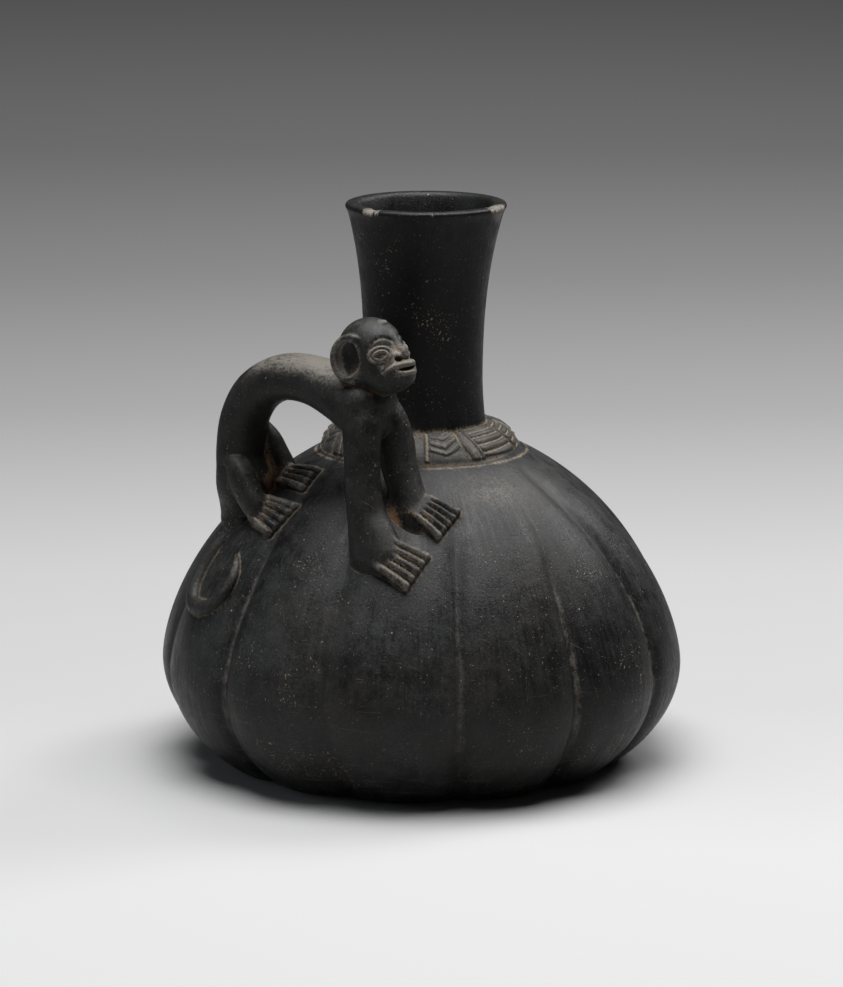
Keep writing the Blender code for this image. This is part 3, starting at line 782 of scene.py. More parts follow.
@dataclass(frozen=True)
class Head:
    """The monkey's head, with places given forward, to its right side and up from its middle.

    Attributes:
        centre: Its middle.
        reach: How far its block of clay reaches each way.
        step: The clay grid's step.
        seen_from: Direction of the camera, along which rolls are laid on the right side of the face.
        masses: Skull, cheeks, jaw, muzzle, chin, nape and the lump on the crown, each as its place,
            radii, degrees tipped and blend.
        outer_lid: Course of the outer ring round the right eye.
        brow: Course of the line over it.
        inner_lid: Course of the inner ring.
        slit: Course of the slit of the pupil.
        bridge: Rows of forward, up and width down the nose.
        fold: Course and thickness of the fold over the upper lip, from its end to the middle.
        upper_lip: Course and thickness of the upper lip.
        lower_lip: Course and thickness of the lower lip.
        ear_rim: Course and thickness of the right ear's rim.
        roll_side: Direction of the width of a thin roll.
        roll_reach: How far off a thin roll its distance is worked out.
    """

    centre: Triple = (18.4, -52.0, 156.3)
    reach: float = 20.5
    step: float = 0.38
    seen_from: Triple = (0.594, -0.778, 0.2045)
    masses: Masses = (
        ((-0.9, 0.0, 2.6), (12.0, 10.6, 11.2), 0.0, 0.0),
        ((5.4, 0.0, -2.6), (9.0, 8.9, 8.0), 0.0, 3.0),
        ((6.2, 0.0, -6.3), (8.7, 7.9, 6.0), 0.0, 3.0),
        ((10.6, 0.0, -2.6), (6.6, 6.7, 4.6), 8.0, 2.5),
        ((12.2, 0.0, -5.9), (4.5, 5.2, 3.5), 0.0, 2.0),
        ((-4.8, 0.0, -6.0), (8.2, 9.0, 7.4), 0.0, 3.0),
        ((4.3, 0.0, 12.7), (1.7, 1.4, 0.9), 0.0, 1.0),
    )
    outer_lid: tuple[Triple, ...] = (
        (5.0, 8.9, 1.4),
        (5.6, 8.3, 3.5),
        (7.1, 6.8, 4.8),
        (8.7, 4.9, 4.9),
        (10.3, 3.6, 4.0),
        (11.2, 4.2, 2.4),
        (10.9, 6.0, 0.9),
        (9.1, 7.7, -0.1),
        (6.7, 8.5, 0.1),
    )
    brow: tuple[Triple, ...] = (
        (5.3, 9.0, 4.8),
        (6.5, 8.0, 7.2),
        (8.8, 6.3, 8.6),
        (10.9, 4.0, 7.8),
        (11.8, 2.9, 5.6),
    )
    inner_lid: tuple[Triple, ...] = (
        (6.4, 8.3, 1.8),
        (7.2, 7.4, 3.2),
        (8.6, 6.0, 3.8),
        (10.0, 4.9, 3.1),
        (10.4, 5.7, 2.0),
        (9.5, 7.1, 1.0),
        (7.6, 8.1, 0.9),
    )
    slit: tuple[Triple, ...] = ((7.6, 7.6, 2.1), (8.5, 6.8, 2.5), (9.4, 5.9, 2.7))
    bridge: tuple[Triple, ...] = (
        (8.4, 7.6, 3.4),
        (10.6, 5.3, 3.8),
        (12.9, 3.4, 4.4),
        (14.2, 2.0, 4.0),
        (14.4, 1.3, 3.0),
    )
    fold: Stations = (
        (10.4, 7.4, -3.0, 0.8),
        (11.6, 6.6, -0.9, 1.0),
        (13.0, 5.0, 0.4, 1.1),
        (14.4, 3.0, 1.0, 0.9),
        (15.2, 0.0, 1.2, 0.7),
    )
    upper_lip: Stations = (
        (11.2, 7.2, -5.4, 0.8),
        (11.6, 7.0, -3.6, 1.0),
        (12.3, 6.6, -2.3, 1.2),
        (13.3, 5.6, -1.5, 1.5),
        (14.6, 3.8, -0.8, 1.8),
        (15.7, 1.8, -0.5, 1.9),
        (16.2, 0.0, -0.5, 1.9),
    )
    lower_lip: Stations = (
        (13.2, 5.6, -3.5, 1.0),
        (15.0, 4.4, -3.9, 1.3),
        (16.4, 2.2, -3.7, 1.5),
        (16.8, 0.0, -3.5, 1.5),
    )
    ear_rim: Stations = (
        (1.2, 8.6, 6.8, 1.7),
        (-1.8, 9.4, 8.0, 2.2),
        (-5.2, 10.2, 7.2, 2.3),
        (-7.8, 11.0, 4.2, 2.2),
        (-8.8, 11.2, 0.4, 2.1),
        (-7.8, 10.9, -3.4, 2.0),
        (-5.4, 10.0, -6.2, 1.9),
        (-2.4, 8.8, -8.0, 1.6),
    )
    roll_side: Triple = (0.3, 0.2, 0.93)
    roll_reach: float = 3.5

    def at(self, forward: float, right: float, up: float) -> Array:
        """A place on the head."""
        return np.asarray(self.centre) + np.array([forward, -right, up])

    def ball(self, place: Triple, radii: Triple, tip: float = 0.0, yaw: float = 0.0) -> Ball:
        """A rounded mass of the head."""
        return Ball(self.at(*place), radii, tip, yaw)

    def rows_of(self, rows: Stations, side: int) -> list[list[float]]:
        """Stations in space from rows of forward, right, up and thickness, on one side of the head."""
        made = []
        for forward, right, up, thick in rows:
            made.append([*self.at(forward, right * side, up), thick, thick])
        return made

    def across(self, rows: Stations) -> Limb:
        """A roll over the face from one side to the other, from the rows of one side to its middle."""
        stations = self.rows_of(rows, 1) + self.rows_of(rows[-2::-1], -1)
        return Limb(stations, (0.1, 0.1, 0.99), pieces=4, reach=self.roll_reach)

    def laid(self, clay: Clay, rows: Sequence[Triple], side: int, thick: float, lift: float) -> Limb:
        """A thin roll laid on the face.

        Args:
            clay: The face that it is laid on.
            rows: Places of forward, right and up that it follows.
            side: Which side of the head, 1 or -1.
            thick: Its thickness.
            lift: How far its middle stands off the face.

        Returns:
            The roll.
        """
        points = np.array([self.at(forward, right * side, up) for forward, right, up in rows])
        points = smooth_path(points, 3)
        seen_from = np.array(self.seen_from) * (1, side, 1)
        for _ in range(5):
            facing = np.clip(clay.slope(points) @ seen_from, 0.4, None)
            points = points - seen_from * ((clay.sample(points) - lift) / facing)[:, None]
        stations = [[*point, thick, thick] for point in points]
        return Limb(stations, self.roll_side, pieces=2, reach=self.roll_reach)

    def model(self, clay: Clay) -> None:
        """Model the head in the clay."""
        for place, radii, tip, blend in self.masses:
            clay.add(self.ball(place, radii, tip), blend)
        for side in (1, -1):
            self.model_eye(clay, side)
        self.model_nose(clay)
        self.model_mouth(clay)
        for side in (1, -1):
            self.model_ear(clay, side)

    def model_eye(self, clay: Clay, side: int) -> None:
        """Model one eye: a hollow under the brow, the ball, two rings of lid and the pupil's slit."""
        clay.carve(self.ball((10.8, 9.3 * side, 3.9), (6.9, 4.0, 6.2), yaw=37 * side), 0.6)
        clay.add(self.ball((7.7, 5.4 * side, 2.2), (3.9, 2.3, 2.9), yaw=37 * side), 0.6)
        arch = self.laid(clay, self.brow, side, 1.1, 0.0)
        outer = self.laid(clay, (*self.outer_lid, self.outer_lid[0]), side, 0.95, 0.14)
        inner = self.laid(clay, (*self.inner_lid, self.inner_lid[0]), side, 0.95, 0.16)
        slit = self.laid(clay, self.slit, side, 0.9, 0.0)
        clay.carve(arch, 0.3)
        clay.add(outer, 0.15)
        clay.add(inner, 0.1)
        clay.carve(slit, 0.1)

    def model_nose(self, clay: Clay) -> None:
        """Model the nose: a straight bridge, a blunt tip and flared nostrils."""
        flatness = 0.8
        stations = [[*self.at(ahead, 0, up), width * flatness, width] for ahead, up, width in self.bridge]
        clay.add(Limb(stations, (0, 1, 0), pieces=4, reach=self.roll_reach), 1.2)
        for side in (1, -1):
            clay.add(self.ball((12.4, 2.4 * side, 2.1), (1.9, 1.5, 1.4)), 0.8)
            clay.carve(self.ball((13.6, 2.9 * side, 1.1), (1.7, 1.3, 1.0)), 0.35)

    def model_mouth(self, clay: Clay) -> None:
        """Model the half-open mouth between two lips, the upper one drawn down at its ends."""
        clay.carve(self.across(self.fold), 0.4)
        clay.add(self.across(self.upper_lip), 0.3)
        clay.carve(self.ball((15.6, 0, -2.3), (1.9, 5.0, 0.8), -3), 0.5)
        clay.add(self.across(self.lower_lip), 0.3)

    def model_ear(self, clay: Clay, side: int) -> None:
        """Model one cupped ear with its curled rim."""
        clay.add(self.ball((-4.6, 9.6 * side, -0.2), (5.6, 2.3, 7.9), yaw=14 * side), 1.0)
        clay.carve(self.ball((-4.0, 11.3 * side, 0.3), (5.6, 3.5, 6.8), yaw=18 * side), 0.6)
        rim = self.rows_of(self.ear_rim, side)
        clay.add(Limb(rim, self.roll_side, pieces=4, reach=self.roll_reach), 0.8)


@dataclass(frozen=True)
class Monkey:
    """The handle: a monkey on all fours, its back arched from the tail up and over to the head.

    Attributes:
        form: The jar that it stands on.
        head: Its head.
        step: The clay grid's step.
        low: Lowest corner of the body's block of clay.
        high: Highest corner of it.
        skin_depth: How deep into the jar its clay goes.
        skin_reach: How far from the limbs its clay spreads over the shoulder in front.
        skin_gain: How much further it spreads for each millimetre of fillet.
        sink: How far under the jar's surface the spread clay ends.
        fillets: The fillet at the hands, and what is added to it behind.
        behind: Places along X between which the fillet grows.
        masses: Chest, near hip and far hip, each as its place, radii, degrees tipped and blend.
        back: Stations of the back, each as place, thickness and width, as for the limbs.
        near_arm: Stations of the near arm.
        far_arm: Stations of the far arm.
        near_shin: Stations of the near shin.
        far_shin: Stations of the far shin.
        tail: Rows of x, y, width and height over the shoulder.
        hip_fold: Course of the line that parts the near leg from the hip.
        saddle: Where the top of the back is made paler where it faces up, as its middle along X and
        half its length.
        saddle_heights: Heights between which that wear begins.
        dirt_reaches: How far a tight and a wide crease is felt for.
        wear_reaches: How far a sharp and a broad edge is felt for.
    """

    form: JarForm
    head: Head = Head()
    step: float = 0.49
    low: Triple = (-61.0, -88.0, 60.0)
    high: Triple = (52.0, -31.0, 174.0)
    skin_depth: float = 3.4
    skin_reach: float = 1.4
    skin_gain: float = 0.55
    sink: float = 0.3
    fillets: tuple[float, float] = (1.2, 9.0)
    behind: tuple[float, float] = (-36.0, -44.0)
    masses: Masses = (
        ((16.5, -52.0, 141.0), (8.6, 11.8, 7.4), 20.0, 3.0),
        ((-39.8, -54.2, 105.0), (7.4, 7.6, 8.6), 12.0, 4.0),
        ((-39.4, -48.8, 104.5), (7.4, 7.8, 9.2), 8.0, 4.0),
    )
    back: Stations = (
        (-42.4, -51.0, 92.0, 15.0, 12.0),
        (-41.8, -51.4, 98.6, 16.0, 15.6),
        (-41.0, -52.0, 107.0, 16.4, 18.4),
        (-41.5, -52.0, 116.5, 15.6, 19.0),
        (-39.5, -52.0, 128.4, 15.5, 18.8),
        (-32.8, -52.0, 138.7, 16.0, 18.8),
        (-21.0, -52.0, 144.8, 16.4, 19.0),
        (-7.0, -52.0, 144.9, 17.0, 19.4),
        (6.0, -52.0, 141.0, 18.6, 21.0),
        (15.0, -52.0, 136.0, 18.0, 23.0),
        (19.0, -52.0, 133.4, 12.0, 20.0),
    )
    near_arm: Stations = (
        (15.6, -56.2, 141.0, 10.0, 9.0),
        (18.2, -58.4, 134.0, 13.6, 11.6),
        (19.4, -59.6, 123.0, 12.4, 11.4),
        (20.4, -60.2, 111.0, 12.0, 11.6),
        (22.2, -60.8, 102.0, 13.2, 12.2),
        (25.4, -61.4, 94.0, 17.2, 14.0),
        (28.0, -62.0, 88.0, 19.6, 14.8),
    )
    far_arm: Stations = (
        (15.6, -47.6, 141.0, 10.0, 9.0),
        (19.6, -45.8, 134.0, 13.4, 11.4),
        (21.9, -44.6, 125.6, 14.2, 11.8),
        (23.9, -44.5, 117.6, 12.8, 11.2),
        (26.5, -44.6, 110.6, 12.4, 11.0),
        (28.6, -44.9, 104.4, 13.8, 11.8),
        (29.6, -45.5, 99.0, 17.6, 13.6),
        (30.2, -46.0, 94.0, 19.0, 14.0),
    )
    near_shin: Stations = (
        (-40.6, -57.8, 109.6, 7.0, 6.0),
        (-38.2, -59.2, 111.6, 9.0, 7.6),
        (-35.2, -59.8, 108.4, 10.0, 8.6),
        (-32.0, -59.8, 103.0, 10.0, 9.0),
        (-29.0, -59.4, 98.6, 10.0, 9.0),
        (-26.6, -59.2, 94.6, 8.0, 8.0),
    )
    far_shin: Stations = (
        (-40.0, -44.0, 124.0, 7.0, 7.0),
        (-36.4, -42.6, 119.0, 9.0, 8.0),
        (-33.4, -42.0, 114.0, 9.0, 8.4),
        (-30.6, -41.8, 109.0, 9.4, 8.8),
        (-28.4, -41.8, 104.0, 9.0, 8.6),
    )
    tail: Stations = (
        (-37.6, -56.2, 7.0, 1.6),
        (-40.4, -55.0, 8.0, 2.4),
        (-43.4, -54.6, 9.0, 3.0),
        (-45.7, -56.2, 8.6, 3.1),
        (-46.9, -59.8, 8.0, 3.1),
        (-48.2, -63.6, 7.2, 3.1),
        (-48.6, -67.4, 6.8, 3.0),
        (-47.6, -71.2, 6.4, 2.9),
        (-44.7, -74.9, 6.2, 2.8),
        (-39.2, -78.0, 6.0, 2.6),
        (-33.2, -79.7, 5.6, 2.4),
        (-28.6, -79.4, 5.0, 2.2),
        (-26.2, -76.8, 4.4, 1.9),
        (-26.5, -73.6, 3.4, 1.4),
        (-29.2, -69.6, 1.4, 0.3),
    )
    hip_fold: tuple[Triple, ...] = (
        (-41.5, -62.2, 111.0),
        (-38.8, -64.4, 105.6),
        (-34.4, -66.4, 99.4),
        (-30.4, -67.8, 93.6),
        (-25.0, -69.4, 86.4),
    )
    saddle: tuple[float, float] = (-14.0, 24.0)
    saddle_heights: tuple[float, float] = (138.0, 150.0)
    dirt_reaches: tuple[float, float] = (0.9, 2.6)
    wear_reaches: tuple[float, float] = (1.1, 2.8)

    def paws(self) -> tuple[Paw, ...]:
        """The two hands and the two feet."""
        return (
            Paw(self.form, (24.2, -63.4), 9.3, 22.0, 11.2, 17.0, 4.2, 3.0, knuckles=0.45),
            Paw(self.form, (25.9, -46.4), 13.9, 20.5, 8.0, 16.6, 4.2, 3.0, knuckles=0.52),
            Paw(self.form, (-32.2, -54.9), -20.6, 18.8, 9.5, 17.0, 3.6, 2.2, knuckles=0.42, skew=0.8),
            Paw(self.form, (-32.0, -42.0), -14.2, 19.8, 8.0, 12.4, 3.6, 2.4, 4, knuckles=0.42),
        )

    def patches(self) -> tuple[Patch, ...]:
        """Where ochre dirt has stayed."""
        at = self.head.at
        return (
            Patch(tuple(at(8.5, 7.5, 2.0)), 5.0, 0.55),
            Patch(tuple(at(8.5, -7.5, 2.0)), 5.0, 0.5),
            Patch(tuple(at(-1.0, 10.5, -2.0)), 4.0, 0.85),
            Patch(tuple(at(-5.0, 8.0, -12.0)), 4.2, 0.6),
            Patch(tuple(at(3.0, 6.5, -13.8)), 4.0, 0.8),
            Patch((27.0, -48.0, 108.0), 9.0, 0.62),
            Patch((28.0, -50.5, 99.0), 11.0, 1.0),
            Patch((24.4, -50.0, 122.0), 8.0, 0.35),
            Patch((-35.0, -47.0, 112.0), 8.0, 0.7),
            Patch((-29.0, -48.5, 104.0), 9.0, 0.85),
            Patch((-33.5, -43.0, 122.0), 7.0, 0.35),
            Patch((-22.0, -62.0, 97.0), 8.0, 0.5),
        )

    def dust_and_highlight(self) -> tuple[Patch, ...]:
        """Where pale dusting has stayed, and a painted highlight on the top of the right ear's rim."""
        at = self.head.at
        return (
            Patch(tuple(at(8.6, 7.0, 2.4)), 6.5, 0.75),
            Patch(tuple(at(8.6, -7.0, 2.4)), 6.5, 0.7),
            Patch(tuple(at(12.5, 4.0, 0.5)), 5.5, 0.7),
            Patch(tuple(at(12.3, 1.6, 4.6)), 4.2, 1.0),
            Patch(tuple(at(8.6, 6.0, 6.6)), 4.0, 0.9),
            # A painted highlight on the top of the right ear's rim.
            Patch(tuple(at(-3.6, 9.6, 8.0)), 4.5, 0.75),
            Patch(tuple(at(-1.2, 9.4, -3.6)), 4.0, 1.0),
            Patch(tuple(at(14.5, 3.5, -3.4)), 5.5, 0.8),
            Patch((27.5, -49.0, 104.0), 11.0, 0.7),
            Patch((-31.0, -47.5, 108.0), 13.0, 0.7),
            Patch((-28.0, -60.0, 95.0), 11.0, 0.7),
            Patch((38.0, -62.0, 88.0), 12.0, 0.6),
            Patch((36.0, -46.0, 98.0), 12.0, 0.6),
            Patch((-40.0, -56.0, 112.0), 8.0, 0.5),
        )

    def ridge(self) -> Limb:
        """The tail, laid on the shoulder in a hook."""
        flatness, dip = 0.9, 0.25
        rows, sides = [], []
        for x, y, width, relief in self.tail:
            thick = width * flatness
            point = self.form.on_shoulder(x, y, relief - thick / 2, dip)
            rows.append([*point, thick, width])
            sides.append(self.form.normal_at(point))
        path = np.asarray(rows)[:, :3]
        across = np.cross(np.gradient(path, axis=0), np.asarray(sides))
        return Limb(rows, across)

    def model(self) -> tuple[Clay, Clay, Clay]:
        """Model the monkey in clay.

        Returns:
            The body's clay, the head's, and a third that has the limbs alone, not joined to the jar.
        """
        clay = Clay(self.low, self.high, self.step)
        clay.add(Limb(self.back, (0, 1, 0), 2.3))
        for centre, radii, tip, blend in self.masses:
            clay.add(Ball(centre, radii, tip), blend)
        clay.add(Limb(self.near_arm, (0, 1, 0), 2.5), 1.6)
        clay.add(Limb(self.far_arm, (0, 1, 0), 2.5), 0.9)
        clay.add(Limb(self.near_shin, (0.2, 1, 0.1), 2.4), 1.0)
        clay.add(Limb(self.far_shin, (0, 1, 0), 2.4), 1.2)
        limbs = Clay(self.low, self.high, self.step)
        limbs.field = clay.field.copy()
        self.join_to_jar(clay)
        for form, blend in (*((paw, 0.9) for paw in self.paws()), (self.ridge(), 0.8)):
            clay.add(form, blend)
            limbs.add(form)
        self.carve_hip(clay)
        bottom = self.form.distance(*clay.axes()).astype(np.float32) + self.skin_depth
        clay.field = soft_max(clay.field, -bottom, 0)
        middle = np.asarray(self.head.centre)
        face = Clay(tuple(middle - self.head.reach), tuple(middle + self.head.reach), self.head.step)
        self.head.model(face)
        return clay, face, limbs

    def join_to_jar(self, clay: Clay) -> None:
        """Blend the limbs into the shoulder, softly behind and tightly at the hands."""
        x, y, z = clay.axes()
        shoulder = self.form.distance(x, y, z).astype(np.float32) + self.sink
        blend = self.fillets[0] + self.fillets[1] * smooth_step(*self.behind, x)
        limbs = clay.field
        near = np.clip(blend - np.abs(limbs - shoulder), 0, None) / blend
        joined = np.minimum(limbs, shoulder) - near * near * blend / 4
        end = limbs - self.skin_reach - self.skin_gain * blend
        clay.field = np.maximum(joined, end).astype(np.float32)

    def carve_hip(self, clay: Clay) -> None:
        """Draw the line that parts the near leg from the hip."""
        thick = 1.5
        rows = [[x, y, z, thick, thick] for x, y, z in self.hip_fold]
        clay.carve(Limb(rows, (0, 1, 0), pieces=4, reach=3), 0.8)

    def build(self, name: str, clay: Clay, other: Clay, material: bpy.types.Material) -> None:
        """Make a piece of the monkey from its clay.

        Args:
            name: The piece's name.
            clay: Its modelled clay.
            other: The clay of the piece that it meets.
            material: The finish to dress it in.
        """
        points, faces = clay.skin()
        for _ in range(2):
            points = points - clay.slope(points) * clay.sample(points)[:, None]
        normals = clay.slope(points)
        around = (clay, other)
        tight, wide = (shut_in(around, self.form, points, normals, reach) for reach in self.dirt_reaches)
        edge, broad = (raised(clay, points, normals, reach) for reach in self.wear_reaches)
        off_jar = smooth_step(0.2, 1.2, self.form.distance(*points.T))
        middle, half = self.saddle
        saddle = np.exp(-(((points[:, 0] - middle) / half) ** 4))
        saddle = saddle * smooth_step(*self.saddle_heights, points[:, 2]) * np.clip(normals[:, 2], 0, 1)
        layers = {
            "crease": np.clip(0.75 * tight + 0.45 * wide, 0, 1),
            "ochre": most(self.patches(), points) * np.clip(0.30 + 1.2 * wide, 0, 1.1),
            "wear_and_highlight": np.clip(0.9 * edge + 0.32 * broad + 0.8 * saddle, 0, 1) * off_jar,
            "dull": most(self.dust_and_highlight(), points) * np.clip(0.42 + 1.2 * wide, 0, 1),
        }
        keep(piece_of(name, points, faces, layers), material)


@dataclass(frozen=True)
class Collar:
    """The carved collar under the neck: knots of plaited cord, with bundles of cord between them.

    Attributes:
        section: Its section as distance from the axis and height, from the neck outward.
        knots: How many knots it has.
        knot_angle: Direction of the knot beside the monkey's head, in degrees.
        plait: Width of a cord in a knot.
        strand: Width of a cord in a bundle.
        upright: The upright cord before a knot, in degrees from the knot.
        relief: Depth of the valleys between cords.
        lead: Degrees before a knot at which its part of the pattern starts.
        slump: How far the collar was pressed in, pushed out and let down, in that order.
        slump_sides: Directions that those three face, in radians.
        columns: Columns of points round it.
        rows: Points in each column.
    """

    section: tuple[tuple[float, float], ...] = (
        (22.4, 122.8),
        (23.4, 123.4),
        (27.0, 123.7),
        (30.6, 122.7),
        (33.2, 120.4),
        (35.0, 117.6),
        (36.3, 115.0),
        (37.3, 112.9),
    )
    knots: int = 4
    knot_angle: float = -38.5
    plait: float = 3.2
    strand: float = 2.95
    upright: Band = Band(-11.0, 1.2)
    relief: float = 1.0
    lead: float = 13.0
    slump: Triple = (1.0, 0.8, 1.3)
    slump_sides: Triple = (0.8, -0.75, 1.3)
    columns: int = 1080
    rows: int = 84

    def pattern(self, off: Array, down: Array) -> tuple[Array, Array]:
        """Carving at places on the collar.

        Args:
            off: Degrees round from a knot's middle, from minus the lead up.
            down: Distance down the section from the neck.

        Returns:
            The height over the plain section, and how much dirt lies there.
        """
        middle_radius = 33
        arc = np.abs(off) * math.radians(1) * middle_radius
        weave = down + np.where(off < 0, 0.36, 0.68) * arc
        plait, plait_dirt = self.cords(weave - 3.0, self.plait)
        lay = down + 0.055 * (off - 17)
        bundle, bundle_dirt = self.cords(lay - 3.2, self.strand)
        first_tie = 10.6 + 4.6 * smooth_step(9, 18, down)
        second_tie = 15.6 + 6.2 * smooth_step(5, 17, down)
        last_tie = 50.5 + 7.0 * smooth_step(6, 17, down)
        in_knot = between(off, -9.4, first_tie - 1.4, 0.7) * between(down, 3.2, 14.4 - 0.35 * arc, 0.6)
        in_bundle = between(off, second_tie + 3.2, last_tie - 1.2, 0.6)
        in_bundle = (in_bundle + between(off, last_tie + 3.4, 71.5, 0.6)) * between(down, 3.2, 15.8, 0.5)
        pad = between(off, -7.6, first_tie - 3.0, 2.6) * between(down, 14.4 - 0.3 * arc, 17.2, 1.6)
        upright = self.upright.over(off) * between(down, 3.0, 16.6, 0.6)
        ties = np.zeros_like(off)
        seams = np.zeros_like(off)
        for edge, width in ((first_tie, second_tie - first_tie), (second_tie, 3.0), (last_tie, 3.0)):
            share = np.clip((off - edge) / width, 0, 1)
            ties = np.maximum(ties, (4 * share * (1 - share)) ** 0.5 * between(down, 2.8, 16.8, 0.5))
            seams = np.maximum(seams, bump(off - edge, 0.75) * between(down, 3.4, 16.4, 0.6))
        height = 0.8 * in_knot * (plait - 0.1) + 0.85 * in_bundle * (bundle - 0.25) + 0.35 * pad
        height = height * (1 - ties) + ties * 0.7 - seams * 0.25 + upright * 0.6
        dirt = in_knot * plait_dirt * 0.6 + in_bundle * bundle_dirt + seams + 0.9 * upright
        rims = 0.7 * bump(down - 1.0, 0.9)
        return self.relief * height, np.clip(dirt + rims, 0, 1)

    def cords(self, place: Array, width: float) -> tuple[Array, Array]:
        """Round cords side by side, as height and as the dirt between them."""
        share = place / width % 1.0
        crown = (4 * share * (1 - share)) ** 0.62
        return crown, bump(np.minimum(share, 1 - share), 0.13)

    def build(self, finish: "Blackware") -> None:
        """Make the collar's piece, dressed in this finish."""
        path = smooth_path(self.section, 24)
        length = np.concatenate([[0], np.cumsum(np.linalg.norm(np.diff(path, axis=0), axis=1))])
        place = np.linspace(0, length[-1], self.rows)
        section = np.stack([np.interp(place, length, path[:, axis]) for axis in (0, 1)], axis=1)
        along = unit(np.gradient(section, axis=0))
        outward = np.stack([-along[:, 1], along[:, 0]], axis=1)
        down = (place - 1.2)[None, :]
        turn = (np.arange(self.columns) * 360 / self.columns - 180)[:, None]
        off = (turn - self.knot_angle + self.lead) % (360 / self.knots) - self.lead
        height, dirt = self.pattern(off + 0 * down, down + 0 * off)
        height = height + 0.35 * self.waver(turn, down)
        ends = between(down, 0.2, 18.4, 0.9)
        radius = section[:, 0] + outward[:, 0] * height * ends
        rise = section[:, 1] + outward[:, 1] * height * ends
        angle = np.radians(turn)
        facing = [np.clip(np.cos(angle - side), 0, 1) for side in self.slump_sides]
        pressed, pushed, let_down = (depth * share for depth, share in zip(self.slump, facing))
        radius = radius - pressed + pushed * smooth_step(8, 17, down)
        rise = rise - let_down * smooth_step(1.5, 5, down)
        points = np.stack([radius * np.cos(angle), radius * np.sin(angle), rise], axis=-1)
        foot = between(down, 17.6, 19.4, 0.9) * 0.8
        valley = np.clip(0.9 - height, 0, 1) * ends
        layers = {
            "crease": np.clip(0.5 * valley + foot, 0, 1).ravel(),
            "ochre": (0.25 * dirt).ravel(),
            "wear_and_highlight": np.clip(height - 0.45, 0, 1).ravel(),
            "dull": dirt.ravel(),
        }
        faces = grid_faces(self.columns, self.rows)
        keep(piece_of("collar", points.reshape(-1, 3), faces, layers), finish.material(Wear.CARVED))

    def waver(self, turn: Array, down: Array) -> Array:
        """The uneven hand of the carver, from -1 to 1."""
        swing = np.radians(turn)
        slow = np.sin(3 * swing + 0.8) * np.cos(0.2 * down)
        return 0.6 * slow + 0.4 * np.sin(11 * swing + 0.35 * down)


def grid_faces(columns: int, rows: int) -> Array:
    """Faces of a grid of points whose columns run round an axis and meet.

    Args:
        columns: Points round the axis.
        rows: Points in each column, numbered one after the other.

    Returns:
        Rows of four point numbers, facing out when the columns run anticlockwise and each runs down.
    """
    column = np.arange(columns)[:, None]
    row = np.arange(rows - 1)[None, :]
    after = (column + 1) % columns
    ring = [column * rows + row, column * rows + row + 1, after * rows + row + 1, after * rows + row]
    return np.stack(ring, axis=-1).reshape(-1, 4)


@dataclass(frozen=True)
class Chip:
    """A chip in the lip.

    Attributes:
        angle: Its direction from the neck's axis, in degrees.
        spread: Its half length, in degrees.
        depth: How far down it reaches.
    """

    angle: float
    spread: float
    depth: float


